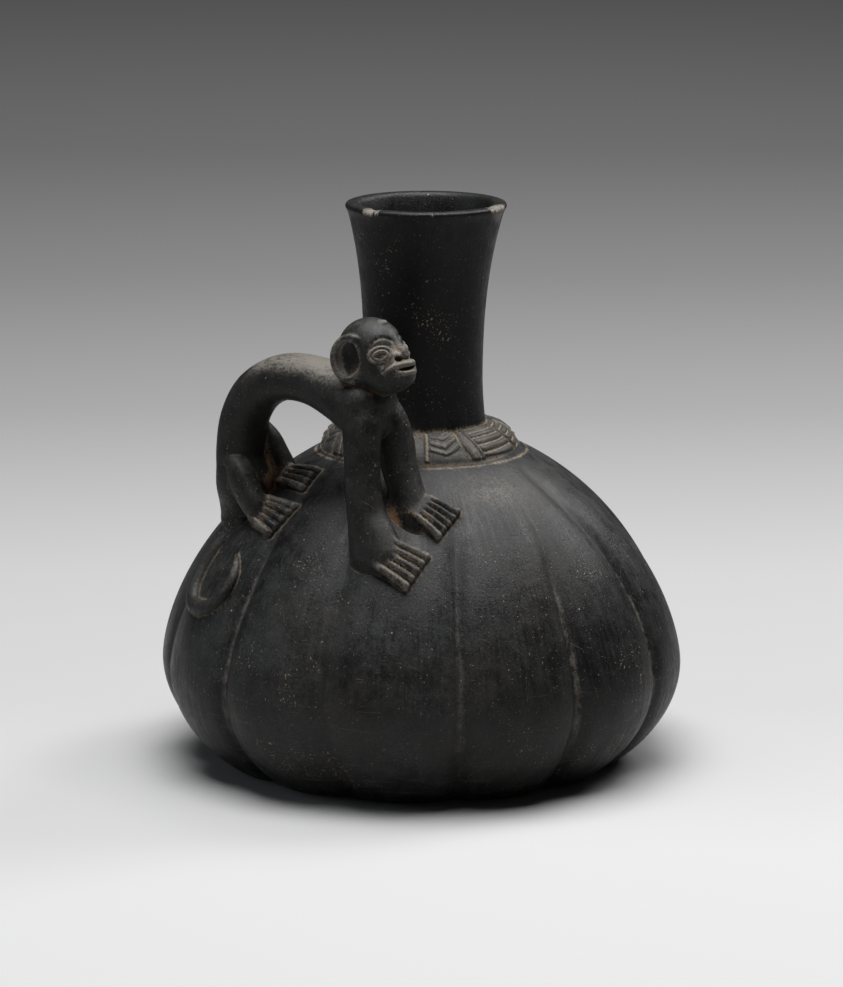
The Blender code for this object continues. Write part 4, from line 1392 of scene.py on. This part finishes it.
@dataclass(frozen=True)
class Jar:
    """The turned jar: a lobed body, a closed shoulder and a tall flared neck.

    Attributes:
        form: The body's shape.
        floor: Thickness of the bottom.
        wall: Thickness of the neck's wall and the body's side.
        shoulder_wall: Thickness of the shoulder.
        neck_radius: Radius of the neck at its waist.
        root_flare: How much wider the neck is where it meets the shoulder.
        waist: Height of the neck's narrowest place.
        rim_radius: Radius over the lip.
        height: Height of the lip.
        flare_power: How late the neck opens out.
        lip: Height of the rounded lip.
        lean: How far the lip stands off the jar's axis.
        chips: Chips in the lip.
        lobe_columns: Columns of points over one lobe.
        crowding: How far they are drawn towards the grooves.
        highlight_rub_side: Directions of the paler patch on the shoulder, partly rubbing and partly a
            painted highlight, in degrees.
        highlight_rub_place: Distances from the axis at which it is.
        painted_shade_side: Directions in which the lower body is painted darker, as painted shade.
        collar_ring: Distances from the axis of the dirt round the collar.
        root_ring: Heights of the dirt round the neck's root.
        scuffed: Directions in which the outside of the neck is scuffed under the lip.
    """

    form: JarForm
    floor: float = 6.5
    wall: float = 5.2
    shoulder_wall: float = 7.1
    neck_radius: float = 21.6
    root_flare: float = 2.2
    waist: float = 143.5
    rim_radius: float = 28.95
    height: float = 203.3
    flare_power: float = 2.4
    lip: float = 4.4
    lean: tuple[float, float] = (1.3, 1.0)
    chips: tuple[Chip, ...] = (
        Chip(-99.0, 6.5, 0.95),
        Chip(-91.0, 2.4, 0.5),
        Chip(3.0, 3.0, 0.45),
        Chip(11.0, 6.0, 0.8),
        Chip(20.0, 4.5, 0.55),
        Chip(132.0, 1.6, 0.08),
        Chip(-48.0, 1.2, 0.2),
        Chip(-150.0, 1.8, 0.35),
    )
    lobe_columns: int = 40
    crowding: float = 0.115
    highlight_rub_side: Band = Band(-22.0, 26.0)
    highlight_rub_place: Band = Band(50.0, 11.0)
    painted_shade_side: Band = Band(-8.0, 34.0)
    collar_ring: Band = Band(37.9, 0.7)
    root_ring: Band = Band(123.8, 1.0)
    scuffed: Band = Band(12.0, 8.5)

    def turns(self) -> Array:
        """Directions of the columns, in radians, closer together at the grooves."""
        angles = [groove.angle for groove in self.form.grooves]
        made = []
        for start, end in zip(angles, angles[1:] + [angles[0] + 360]):
            share = np.arange(self.lobe_columns) / self.lobe_columns
            share = share - self.crowding * np.sin(2 * np.pi * share)
            made.append(start + (end - start) * share)
        return np.radians(np.concatenate(made))

    def neck_root(self) -> float:
        """Height where the neck leaves the shoulder."""
        return float(self.form.shoulder_height(self.neck_radius + self.root_flare))

    def neck(self, height: Array) -> Array:
        """Outer radius of the neck at these heights."""
        root = self.neck_root()
        low = np.clip((self.waist - height) / (self.waist - root), 0, None)
        high = np.clip((height - self.waist) / (self.height - self.waist), 0, None)
        opening = (self.rim_radius - self.neck_radius) * high**self.flare_power
        return self.neck_radius + self.root_flare * low**2 + opening

    def outside(self) -> Array:
        """The outer profile from the middle of the bottom up to the lip.

        Returns:
            Rows of radius, height and share of the grooves, below zero where the grooves are cut along
            the shoulder's normal.
        """
        form = self.form
        rows = [(0.0, 0.0, 0.0), (30.0, 0.0, 0.0), (60.0, 0.0, 0.6)]
        rows += [(form.foot_radius - 1.5, 0.0, 1.3), (form.foot_radius - 0.5, 0.05, 1.4)]
        lowest = 0.35
        for share in np.linspace(0, 1, 36)[:-1]:
            height = lowest + (form.widest_height - lowest) * share**1.15
            gain = 1 + form.foot_gain * (1 - height / form.widest_height)
            rows.append((form.skirt_radius(height), height, gain))
        steps = np.linspace(0, 1, 74) ** 1.55
        for radius in form.body_radius * (1 - steps) + (self.neck_radius + self.root_flare) * steps:
            rows.append((radius, form.shoulder_height(radius), -1.0))
        heights = np.linspace(self.neck_root(), self.height - self.lip, 40)[1:]
        rows += [(radius, height, 0.0) for radius, height in zip(self.neck(heights), heights)]
        return np.asarray(rows)

    def rim(self) -> Array:
        """The rounded lip, from outside to inside."""
        low = self.height - self.lip
        outer = float(self.neck(np.array([low]))[0])
        steps = (
            (-0.55, 2.7),
            (-0.05, 1.7),
            (0.0, 1.0),
            (-0.35, 0.38),
            (-1.1, 0.06),
            (-self.wall / 2, 0.0),
            (1.1 - self.wall, 0.15),
            (0.3 - self.wall, 0.7),
            (-0.2 - self.wall, 1.7),
        )
        rows = [(self.rim_radius + outward, self.height - down, 0.0) for outward, down in steps]
        return np.asarray([*rows, (outer - self.wall, low, 0.0)])

    def inside(self) -> Array:
        """The inner profile, from the lip down to the middle of the floor."""
        form = self.form
        heights = np.linspace(self.height - self.lip - 3, self.neck_root() - 2, 16)
        rows = [(radius - self.wall, height, 0.0) for radius, height in zip(self.neck(heights), heights)]
        for radius in np.linspace(self.neck_radius, form.body_radius - 1, 14)[1:]:
            height = float(form.shoulder_height(radius))
            point = np.array([radius, 0.0, height])
            point = point - form.normal_at(point) * self.shoulder_wall
            rows.append((point[0], point[2], 0.0))
        for height in np.linspace(form.widest_height - 2, self.floor + 3, 5):
            rows.append((form.skirt_radius(height) - self.shoulder_wall, height, 0.0))
        rows += [(form.foot_radius - 10, self.floor, 0.0), (0.0, self.floor, 0.0)]
        return np.asarray(rows)

    def build(self, limbs: Clay, finish: "Blackware") -> None:
        """Make the jar's piece.

        Args:
            limbs: The monkey's limbs, round which dirt has settled.
            finish: The finish to dress it in.
        """
        profile = np.vstack([self.outside(), self.rim(), self.inside()])[::-1]
        turn = self.turns()[:, None]
        radius, height, share = profile[None, :, 0], profile[None, :, 1], profile[None, :, 2]
        cut = self.form.groove(turn, radius) * np.where(share < 0, self.form.fade(radius), share)
        slope = self.form.normal(radius + 0 * turn, 0 * turn + 0 * radius, height + 0 * turn)
        along_normal = share < 0
        sunk = self.form.groove_depth * cut * np.where(along_normal, slope[..., 0], 1.0)
        lowered = self.form.groove_depth * cut * np.where(along_normal, slope[..., 2], 0.0)
        chipped, chip_mark = self.chipping(turn, radius, height)
        reach = radius - sunk - chipped * 0.25 - self.wobble(turn, height, radius)
        rise = height - lowered - chipped
        tilt = np.clip((height - self.neck_root()) / (self.height - self.neck_root()), 0, 1)
        x = self.lean[0] * tilt + reach * np.cos(turn)
        y = self.lean[1] * tilt + reach * np.sin(turn)
        flat = np.stack([x, y, rise], axis=-1).reshape(-1, 3)
        off_axis = np.hypot(flat[:, 0], flat[:, 1])
        contact = bump(np.clip(limbs.sample(flat), 0, None), 0.8)
        ring = self.collar_ring.over(off_axis) * between(flat[:, 2], 108, 118, 1.0)
        root = self.root_ring.over(flat[:, 2]) * (off_axis < 26)
        foot = (smooth_step(5.0, 0.3, height) * (radius > 20) + 0 * turn).ravel()
        neck = smooth_step(0, 12, height - self.neck_root()) + 0 * turn
        degrees = apart(np.degrees(turn), 0.0)
        on_shoulder = (height > 60) * (height < 121)
        # A paler patch on the shoulder: partly rubbing, partly a painted highlight.
        rubbed_and_highlight = self.highlight_rub_side.over(degrees) * self.highlight_rub_place.over(radius) * on_shoulder
        deep = 0.25 * np.clip(cut - 0.45, 0, 1).ravel()
        layers = {
            "crease": np.clip(contact + deep + 0.4 * foot + 0.5 * root, 0, 1),
            "ochre": np.clip(0.25 * contact + 0.3 * root, 0, 1),
            "wear_and_highlight": np.clip(chip_mark.ravel() + 0.35 * foot + 0.30 * rubbed_and_highlight.ravel(), 0, 1),
            "dull": np.clip(0.75 * ring + 0.9 * root, 0, 1),
            # The neck's mask, which the finish uses to paint the neck darker as painted shade.
            "neck": neck.ravel(),
            # The lower body towards the front right, which the finish paints darker as painted shade.
            "painted_low_shade": (self.painted_shade_side.over(degrees) * smooth_step(92, 60, height)).ravel(),
            # The grooves' mask, which the finish paints with a pale line: partly residue, partly painted
            # highlight.
            "valley": (np.clip(cut, 0, 1) * smooth_step(-25, 34, height)).ravel(),
        }
        faces = grid_faces(len(turn), len(profile))
        keep(piece_of("turned_jar", flat, faces, layers), finish.material(Wear.TURNED))

    def chipping(self, turn: Array, radius: Array, height: Array) -> tuple[Array, Array]:
        """Depth of the chips in the lip, and where their fresh faces show."""
        down = self.height - height
        on_neck = radius > 15
        depth = np.zeros(np.broadcast_shapes(turn.shape, radius.shape))
        degrees = np.degrees(turn)
        for chip in self.chips:
            off = apart(degrees, chip.angle)
            ragged = 1 + 0.35 * np.sin(off * 2.9 + chip.angle) + 0.2 * np.sin(off * 7.1)
            edge = smooth_step(1.0, 0.55, np.abs(off) / chip.spread)
            depth = np.maximum(depth, chip.depth * ragged * edge)
        mark = np.clip(depth * 1.6, 0, 1) * smooth_step(2.6, 1.2, down) * on_neck
        scuffed = self.scuffed.over(degrees - 0.8 * down) * smooth_step(9.0, 1.5, down)
        mark = np.maximum(mark, 0.9 * scuffed * (radius > self.neck_radius))
        return depth * smooth_step(3.4, 0.6, down) * on_neck, mark

    def wobble(self, turn: Array, height: Array, radius: Array) -> Array:
        """Unevenness of the hand-formed wall, never outward."""
        wave = np.sin(2 * turn + 0.02 * height) + 0.6 * np.sin(5 * turn - 0.05 * height + 1.3)
        wave = wave + 0.5 * np.sin(0.11 * height + 1.7 * np.cos(turn))
        return (0.12 + 0.06 * wave) * (radius > 15)


class Wear(enum.Enum):
    """How a piece was finished and used."""

    TURNED = "burnished"
    CARVED = "carved"
    HANDLED = "handled"


class Value:
    """A number that varies over a surface, from a shader socket, that can be used in sums."""

    def __init__(self, graph: "Graph", socket: bpy.types.NodeSocket) -> None:
        """Wrap a socket.

        Args:
            graph: The graph that the socket is in.
            socket: The output socket.
        """
        self.graph = graph
        self.socket = socket

    def _sum(self, operation: str, *terms: Any) -> "Value":
        """Add a Math node that works on these terms."""
        inputs = dict(enumerate(terms))
        return self.graph.value("ShaderNodeMath", {"operation": operation}, inputs)

    def __add__(self, other: Any) -> "Value":
        """Self plus other."""
        return self._sum("ADD", self, other)

    __radd__ = __add__

    def __sub__(self, other: Any) -> "Value":
        """Self minus other."""
        return self._sum("SUBTRACT", self, other)

    def __rsub__(self, other: Any) -> "Value":
        """Other minus self."""
        return self._sum("SUBTRACT", other, self)

    def __mul__(self, other: Any) -> "Value":
        """Self times other."""
        return self._sum("MULTIPLY", self, other)

    __rmul__ = __mul__

    def __truediv__(self, other: Any) -> "Value":
        """Self over other."""
        return self._sum("DIVIDE", self, other)

    def __or__(self, other: Any) -> "Value":
        """The larger of the two."""
        return self._sum("MAXIMUM", self, other)

    def __pow__(self, other: Any) -> "Value":
        """Self to a power."""
        return self._sum("POWER", self, other)

    def step(self, low: float, high: float) -> "Value":
        """Rise softly from 0 at low to 1 at high, or fall when high lies below low."""
        ends = {1: low, 2: high} if low < high else {1: high, 2: low}
        settings = {"interpolation_type": "SMOOTHSTEP"}
        share = self.graph.value("ShaderNodeMapRange", settings, {0: self, **ends})
        return share if low < high else 1 - share


class Graph:
    """The node tree of a new material with a Principled BSDF."""

    def __init__(self, name: str) -> None:
        """Make the material."""
        self.material = bpy.data.materials.new(name)
        self.material.use_nodes = True
        self.tree = self.material.node_tree
        self.shader = self.tree.nodes["Principled BSDF"]

    def node(
        self, kind: str, settings: dict[str, Any] | None = None, inputs: dict[Any, Any] | None = None
    ) -> bpy.types.Node:
        """Add a node.

        Args:
            kind: The node's type.
            settings: Its settings, and a ramp's stops as pairs of place and colour.
            inputs: A value, socket or Value for each input, by name or number.

        Returns:
            The node.
        """
        made = self.tree.nodes.new(kind)
        for name, setting in (settings or {}).items():
            if name == "stops":
                self._set_stops(made.color_ramp, setting)
            else:
                setattr(made, name, setting)
        for name, value in (inputs or {}).items():
            self.feed(made.inputs[name], value)
        return made

    def value(
        self, kind: str, settings: dict[str, Any] | None = None, inputs: dict[Any, Any] | None = None
    ) -> Value:
        """Add a node and return its first output as a Value."""
        return Value(self, self.node(kind, settings, inputs).outputs[0])

    def feed(self, socket: bpy.types.NodeSocket, value: Any) -> None:
        """Set or link an input."""
        if isinstance(value, Value):
            value = value.socket
        if isinstance(value, bpy.types.NodeSocket):
            self.tree.links.new(value, socket)
        elif isinstance(value, tuple) and len(value) == 3 and socket.type == "RGBA":
            socket.default_value = (*value, 1.0)
        else:
            socket.default_value = value

    def _set_stops(self, ramp: bpy.types.ColorRamp, stops: Sequence[tuple[float, Colour]]) -> None:
        """Give a ramp its stops."""
        while len(ramp.elements) < len(stops):
            ramp.elements.new(1.0)
        for element, (place, colour) in zip(ramp.elements, stops):
            element.position = place
            element.color = (*colour, 1.0)

    def layer(self, name: str) -> Value:
        """A layer of values that the mesh carries."""
        node = self.node("ShaderNodeAttribute", {"attribute_name": name})
        return Value(self, node.outputs["Fac"])

    def mix(self, factor: Any, first: Any, second: Any) -> bpy.types.NodeSocket:
        """Mix two colours."""
        node = self.node("ShaderNodeMix", {"data_type": "RGBA"}, {0: factor, 6: first, 7: second})
        return node.outputs[2]

    def parts(self, place: bpy.types.NodeSocket) -> list[Value]:
        """The place's x, y and z."""
        split = self.node("ShaderNodeSeparateXYZ", None, {0: place})
        return [Value(self, part) for part in split.outputs]

    def stretched(self, place: bpy.types.NodeSocket, scale: Triple, turn: Triple) -> bpy.types.NodeSocket:
        """A place turned and then scaled along its axes, for patterns that run one way."""
        inputs = {"Vector": place, "Rotation": turn, "Scale": scale}
        return self.node("ShaderNodeMapping", {"vector_type": "TEXTURE"}, inputs).outputs[0]

    def unrolled(self, place: bpy.types.NodeSocket, around: float, upward: float) -> bpy.types.NodeSocket:
        """A place on the jar unrolled from its axis, scaled round it and upward."""
        x, y, z = self.parts(place)
        radius = (x * x + y * y) ** 0.5 + 4.0
        inputs = {0: x / radius * around, 1: y / radius * around, 2: z * upward}
        return self.node("ShaderNodeCombineXYZ", None, inputs).outputs[0]

    def noise(
        self, place: bpy.types.NodeSocket, scale: float, detail: float = 2.0, rough: float = 0.55
    ) -> Value:
        """Soft noise round 0.5, with features this many to the millimetre."""
        inputs = {"Vector": place, "Scale": scale, "Detail": detail, "Roughness": rough}
        return self.value("ShaderNodeTexNoise", None, inputs)

    def specks(self, place: bpy.types.NodeSocket, scale: float, size: float, share: float) -> Value:
        """Small round specks.

        Args:
            place: Where each point is.
            scale: Cells to the millimetre.
            size: Radius of a speck as a share of a cell.
            share: Share of the cells that hold one.

        Returns:
            1 in a speck and 0 outside.
        """
        cell = self.node("ShaderNodeTexVoronoi", None, {"Vector": place, "Scale": scale})
        inside = Value(self, cell.outputs["Distance"]).step(size, size * 0.6)
        chosen = self.value("ShaderNodeSeparateColor", None, {0: cell.outputs["Color"]})
        return inside * chosen.step(1 - share, 1 - share + 0.02)


@dataclass(frozen=True)
class Blackware:
    """Burnished black fired clay, old and handled.

    Attributes:
        black: Its darkest colour.
        grey: The greyer colour of its mottling.
        brown: The browner patches.
        tan: Pale dirt in creases.
        rust: Ochre dirt.
        bare_and_highlight: Clay where the black is rubbed thin.
        gloss: Roughness of the burnished surface.
        matt: Roughness of dirt.
        shine: How much it mirrors, 0.5 being plain glaze.
        clouds: Features of the large grey clouds to the millimetre, as for the others.
        stains: Features of the brown stains.
        mottling: Features of the fine mottling.
        graining: Features of the grain.
        flecking: Features of the pale flecks.
    """

    black: Colour = (0.0046, 0.0047, 0.0047)
    grey: Colour = (0.0265, 0.0270, 0.0272)
    brown: Colour = (0.0240, 0.0200, 0.0155)
    tan: Colour = (0.25, 0.20, 0.145)
    rust: Colour = (0.18, 0.095, 0.048)
    # bare_and_highlight: Clay where the black is thinned by rubbing, also painted as highlights on the             jar's shoulder and along its grooves.
    bare_and_highlight: Colour = (0.135, 0.122, 0.105)
    gloss: float = 0.27
    matt: float = 0.82
    shine: float = 0.19
    clouds: float = 0.028
    stains: float = 0.012
    mottling: float = 0.16
    graining: float = 1.1
    flecking: float = 1.15

    def material(self, wear: Wear) -> bpy.types.Material:
        """The finish for one piece.

        Args:
            wear: How the piece was finished and used.

        Returns:
            A new material.
        """
        graph = Graph(f"blackware_{wear.value}")
        metres = graph.node("ShaderNodeTexCoord").outputs["Object"]
        scaled = graph.node("ShaderNodeVectorMath", {"operation": "SCALE"}, {0: metres, "Scale": 1000.0})
        place = scaled.outputs[0]
        cloud = graph.noise(place, self.clouds, 5.0, 0.6)
        stain = graph.noise(place, self.stains, 3.0, 0.5)
        mottle = graph.noise(place, self.mottling, 6.0, 0.66)
        grain = graph.noise(place, self.graining, 5.0, 0.7)
        streak = graph.noise(graph.unrolled(place, 90.0, 0.05), 0.75, 5.0, 0.65)
        scratch = self.scratches(graph, place)
        speck = self.specks(graph, place)
        wear_and_highlight = graph.layer("wear_and_highlight")
        # depth is painted shade on the jar: its neck and its lower body towards the front right are made
        # darker.
        depth = 1.0
        if wear is Wear.TURNED:
            depth = (1 - 0.9 * graph.layer("neck")) * (1 - 0.6 * graph.layer("painted_low_shade"))
        shade = 0.50 * cloud.step(0.34, 0.66) + 0.38 * mottle.step(0.36, 0.66)
        shade = shade + 0.2 * streak.step(0.42, 0.75)
        shade = shade * depth * (0.45 + 1.1 * grain.step(0.30, 0.70))
        colour = graph.mix(shade, self.black, self.grey)
        brownish = stain.step(0.50, 0.66) * (0.3 + 0.7 * mottle.step(0.3, 0.7)) * depth * 0.6
        dirt_cover = 0.5
        if wear is Wear.TURNED:
            # A pale line along the grooves: partly pale residue, partly a painted highlight on the lit
            # groove bottoms.
            line = (graph.layer("valley") + 0.35 * streak).step(0.98, 1.26) * mottle.step(0.36, 0.62)
            colour = graph.mix(line * (0.3 + 0.5 * grain.step(0.35, 0.6)), colour, self.bare_and_highlight)
        elif wear is Wear.CARVED:
            colour = graph.mix(0.14 + 0.18 * grain.step(0.35, 0.65), colour, self.bare_and_highlight)
        else:
            brownish = 0.10 + 0.25 * mottle.step(0.35, 0.65)
            dirt_cover = 0.34
        broken = (0.35 + 0.65 * mottle.step(0.34, 0.60)) * (0.35 + 0.65 * grain.step(0.38, 0.60))
        dirt = (graph.layer("crease") * (0.45 + 0.75 * broken)).step(0.28, 0.90)
        film = (graph.layer("dull") * (0.35 + 0.9 * broken)).step(0.20, 0.85)
        rust = (graph.layer("ochre") * (0.25 + 1.0 * broken)).step(0.22, 0.75)
        # Paler where the black is thinned by use, and a painted highlight on the jar's shoulder.
        rubbed_and_highlight = (wear_and_highlight * (0.25 + 1.1 * broken)).step(0.08, 0.62)
        coats = (
            (brownish * 0.75, self.brown),
            (rubbed_and_highlight * 0.85, self.bare_and_highlight),
            (scratch * 0.32, self.bare_and_highlight),
            (speck * 0.75, self.tan),
            (dirt * dirt_cover, self.tan),
            (film * 0.75, self.tan),
            (rust * 0.8, self.rust),
        )
        for share, paint in coats:
            colour = graph.mix(share, colour, paint)
        soiled = dirt | film | rust
        rough = self.gloss + 0.14 * mottle.step(0.36, 0.64) + 0.14 * streak.step(0.38, 0.60)
        rough = rough + 0.08 * grain.step(0.4, 0.7)
        if wear is not Wear.TURNED:
            rough = rough + 0.06
        rough = rough * (1 - soiled) + self.matt * soiled
        relief = 0.14 * mottle + 0.17 * grain + 0.06 * streak - 0.05 * scratch - 0.06 * speck
        bumps = graph.node("ShaderNodeBump", None, {"Strength": 0.9, "Distance": MM, "Height": relief})
        graph.feed(graph.shader.inputs["Specular IOR Level"], self.shine)
        graph.feed(graph.shader.inputs["Base Color"], colour)
        graph.feed(graph.shader.inputs["Roughness"], rough)
        graph.feed(graph.shader.inputs["Normal"], bumps.outputs[0])
        return graph.material

    def specks(self, graph: Graph, place: bpy.types.NodeSocket) -> Value:
        """Pale flecks, thicker in some places, and a few larger round specks."""
        thicker = graph.noise(place, 0.035).step(0.56, 0.68)
        fleck = graph.noise(place, self.flecking, 3.0, 0.65)
        return (fleck + 0.06 * thicker).step(0.660, 0.715) | graph.specks(place, 0.11, 0.045, 0.5)

    def scratches(self, graph: Graph, place: bpy.types.NodeSocket) -> Value:
        """Fine scratches in two directions, and level ones low on the body."""
        first = graph.noise(graph.stretched(place, (14, 0.5, 3), (0.4, 0.5, 0.6)), 1.0)
        second = graph.noise(graph.stretched(place, (0.4, 9, 5), (0.9, -0.3, 0.2)), 1.0)
        level = graph.noise(graph.unrolled(place, 4.0, 1.5), 1.0, 3.0, 0.6).step(0.64, 0.70)
        low = graph.parts(place)[2].step(62.0, 20.0)
        return first.step(0.70, 0.76) | second.step(0.71, 0.77) | level * low


@dataclass(frozen=True)
class Lamp:
    """A soft rectangular light.

    Attributes:
        name: Its name.
        azimuth: Direction from the jar, in degrees.
        elevation: Angle over the floor, in degrees.
        distance: Distance from the jar, in metres.
        size: Its two sides, in metres.
        power: Its power, in watts.
        colour: Its colour.
        aim: Height on the axis that it points at, in metres.
    """

    name: str
    azimuth: float
    elevation: float
    distance: float
    size: tuple[float, float]
    power: float
    colour: Colour = (1.0, 1.0, 1.0)
    aim: float = 0.08

    def build(self) -> None:
        """Hang the light."""
        light = bpy.data.lights.new(self.name, "AREA")
        light.shape = "RECTANGLE"
        light.size, light.size_y = self.size
        light.energy = self.power
        light.color = self.colour
        lamp = bpy.data.objects.new(self.name, light)
        bpy.context.scene.collection.objects.link(lamp)
        lamp.matrix_world = looking(self.azimuth, self.elevation, self.distance, self.aim)


def looking(azimuth: float, elevation: float, distance: float, aim: float) -> Matrix:
    """Where something stands that looks at the axis.

    Args:
        azimuth: Direction from the axis, in degrees.
        elevation: Angle over the floor, in degrees.
        distance: Distance, in metres.
        aim: Height that it looks at, in metres.

    Returns:
        The matrix of a camera or light there.
    """
    turn = Matrix.Rotation(math.radians(azimuth + 90), 4, "Z")
    tip = Matrix.Rotation(math.radians(90 - elevation), 4, "X")
    return Matrix.Translation((0, 0, aim)) @ turn @ tip @ Matrix.Translation((0, 0, distance))


@dataclass(frozen=True)
class Studio:
    """A plain pale floor, soft light and the camera at the photograph's angle.

    Attributes:
        turn: Direction that the camera looks in, in degrees from +Y towards -X.
        tip: How far it looks down, in degrees.
        distance: Its distance from the jar's axis, in metres.
        height: Its height, in metres.
        lens: Its focal length, in millimetres.
        floor_size: Width of the floor, in metres.
        floor_shades: The floor's brightness by distance behind the jar in metres.
        front_shade: Share of it that is left in front, outside the picture.
        front_place: Distances in front of the jar between which it falls to that, in metres.
        side_shade: Share of it that is left at the sides, outside the picture.
        side_place: Distances aside between which it falls to that, in metres.
        widening: How much further aside they lie for each metre behind the jar.
        lamps: The lights.
        world: Brightness of what else the jar mirrors.
    """

    turn: float = 37.35
    tip: float = 11.822
    distance: float = 1.650
    height: float = 0.442
    lens: float = 169.8
    floor_size: float = 12.0
    floor_shades: tuple[tuple[float, float], ...] = (
        (-0.50, 0.355),
        (-0.13, 0.350),
        (0.075, 0.295),
        (0.30, 0.278),
        (0.67, 0.190),
        (1.10, 0.152),
        (1.66, 0.150),
        (2.90, 0.275),
        (4.00, 0.360),
    )
    front_shade: float = 0.12
    front_place: tuple[float, float] = (0.34, 0.62)
    side_shade: float = 0.08
    side_place: tuple[float, float] = (0.24, 0.60)
    widening: float = 0.13
    lamps: tuple[Lamp, ...] = (
        Lamp("key", 72.0, 43.0, 1.5, (0.5, 0.6), 12.5),
        Lamp("top", -20.0, 88.0, 1.8, (1.6, 1.6), 85.0),
        Lamp("side", -140.0, 22.0, 1.8, (0.5, 0.9), 3.0, (0.86, 0.93, 1.0)),
    )
    world: float = 0.03

    def build(self) -> None:
        """Set the scene."""
        for lamp in self.lamps:
            lamp.build()
        self.lay_floor()
        self.light_world()
        self.set_camera()
        bpy.context.scene.view_settings.view_transform = "Standard"

    def lay_floor(self) -> None:
        """Lay the floor, paler near the jar.

        Its colour is a painted falloff of light, paler near the jar, and painted shade in front and at the
        sides, where the jar mirrors it.
        """
        steps = 96
        turns = np.arange(steps) * 2 * math.pi / steps
        rim = np.stack([np.cos(turns), np.sin(turns), 0 * turns], axis=1) * self.floor_size / 2 / MM
        floor = piece_of("floor", rim, [list(range(steps))], {})
        graph = Graph("floor")
        place = graph.node("ShaderNodeTexCoord").outputs["Object"]
        x, y, _ = graph.parts(place)
        sine, cosine = math.sin(math.radians(self.turn)), math.cos(math.radians(self.turn))
        along = x * sine - y * cosine
        near, far = self.floor_shades[0][0], self.floor_shades[-1][0]
        stops = [((distance - near) / (far - near), (shade,) * 3) for distance, shade in self.floor_shades]
        share = (along * -1 - near) / (far - near)
        shade = graph.node("ShaderNodeValToRGB", {"stops": stops}, {0: share}).outputs[0]
        aside = x * cosine + y * sine
        wide = (aside | aside * -1) - (along * -self.widening | 0.0)
        front = along.step(*self.front_place) * (1 - self.front_shade)
        dark = front | wide.step(*self.side_place) * (1 - self.side_shade)
        shade = graph.mix(dark, shade, (0.0, 0.0, 0.0))
        graph.feed(graph.shader.inputs["Base Color"], shade)
        graph.feed(graph.shader.inputs["Roughness"], 0.9)
        floor.data.materials.append(graph.material)
        floor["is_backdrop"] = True

    def light_world(self) -> None:
        """Fill what the jar mirrors with dim grey."""
        world = bpy.data.worlds.new("studio")
        world.use_nodes = True
        background = world.node_tree.nodes["Background"]
        background.inputs["Color"].default_value = (self.world, self.world, self.world, 1.0)
        bpy.context.scene.world = world

    def set_camera(self) -> None:
        """Set the camera where the photograph was taken from."""
        data = bpy.data.cameras.new("camera")
        data.lens = self.lens
        data.sensor_width = 36.0
        data.clip_end = 50.0
        camera = bpy.data.objects.new("camera", data)
        turn = math.radians(self.turn)
        camera.location = (self.distance * math.sin(turn), -self.distance * math.cos(turn), self.height)
        camera.rotation_euler = (math.radians(90 - self.tip), 0.0, turn)
        bpy.context.scene.collection.objects.link(camera)
        bpy.context.scene.camera = camera


def box_lines(name: str, box: Sequence[Sequence[float]]) -> dict[str, list[float]]:
    return {name: [round(value / MM, 2) for corner in box for value in corner]}


def main() -> None:
    """Build the jar and its studio."""
    logging.basicConfig(level=logging.INFO, format="%(message)s")
    form = JarForm()
    finish = Blackware()
    monkey = Monkey(form)
    body, head, limbs = monkey.model()
    handled = finish.material(Wear.HANDLED)
    monkey.build("monkey", body, head, handled)
    monkey.build("monkey_head", head, body, handled)
    Collar().build(finish)
    Jar(form).build(limbs, finish)
    Studio().build()
    sizes = box_lines("cad_box_mm", CAD_BOX) | box_lines("visual_box_mm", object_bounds())


if __name__ == "__main__":
    main()
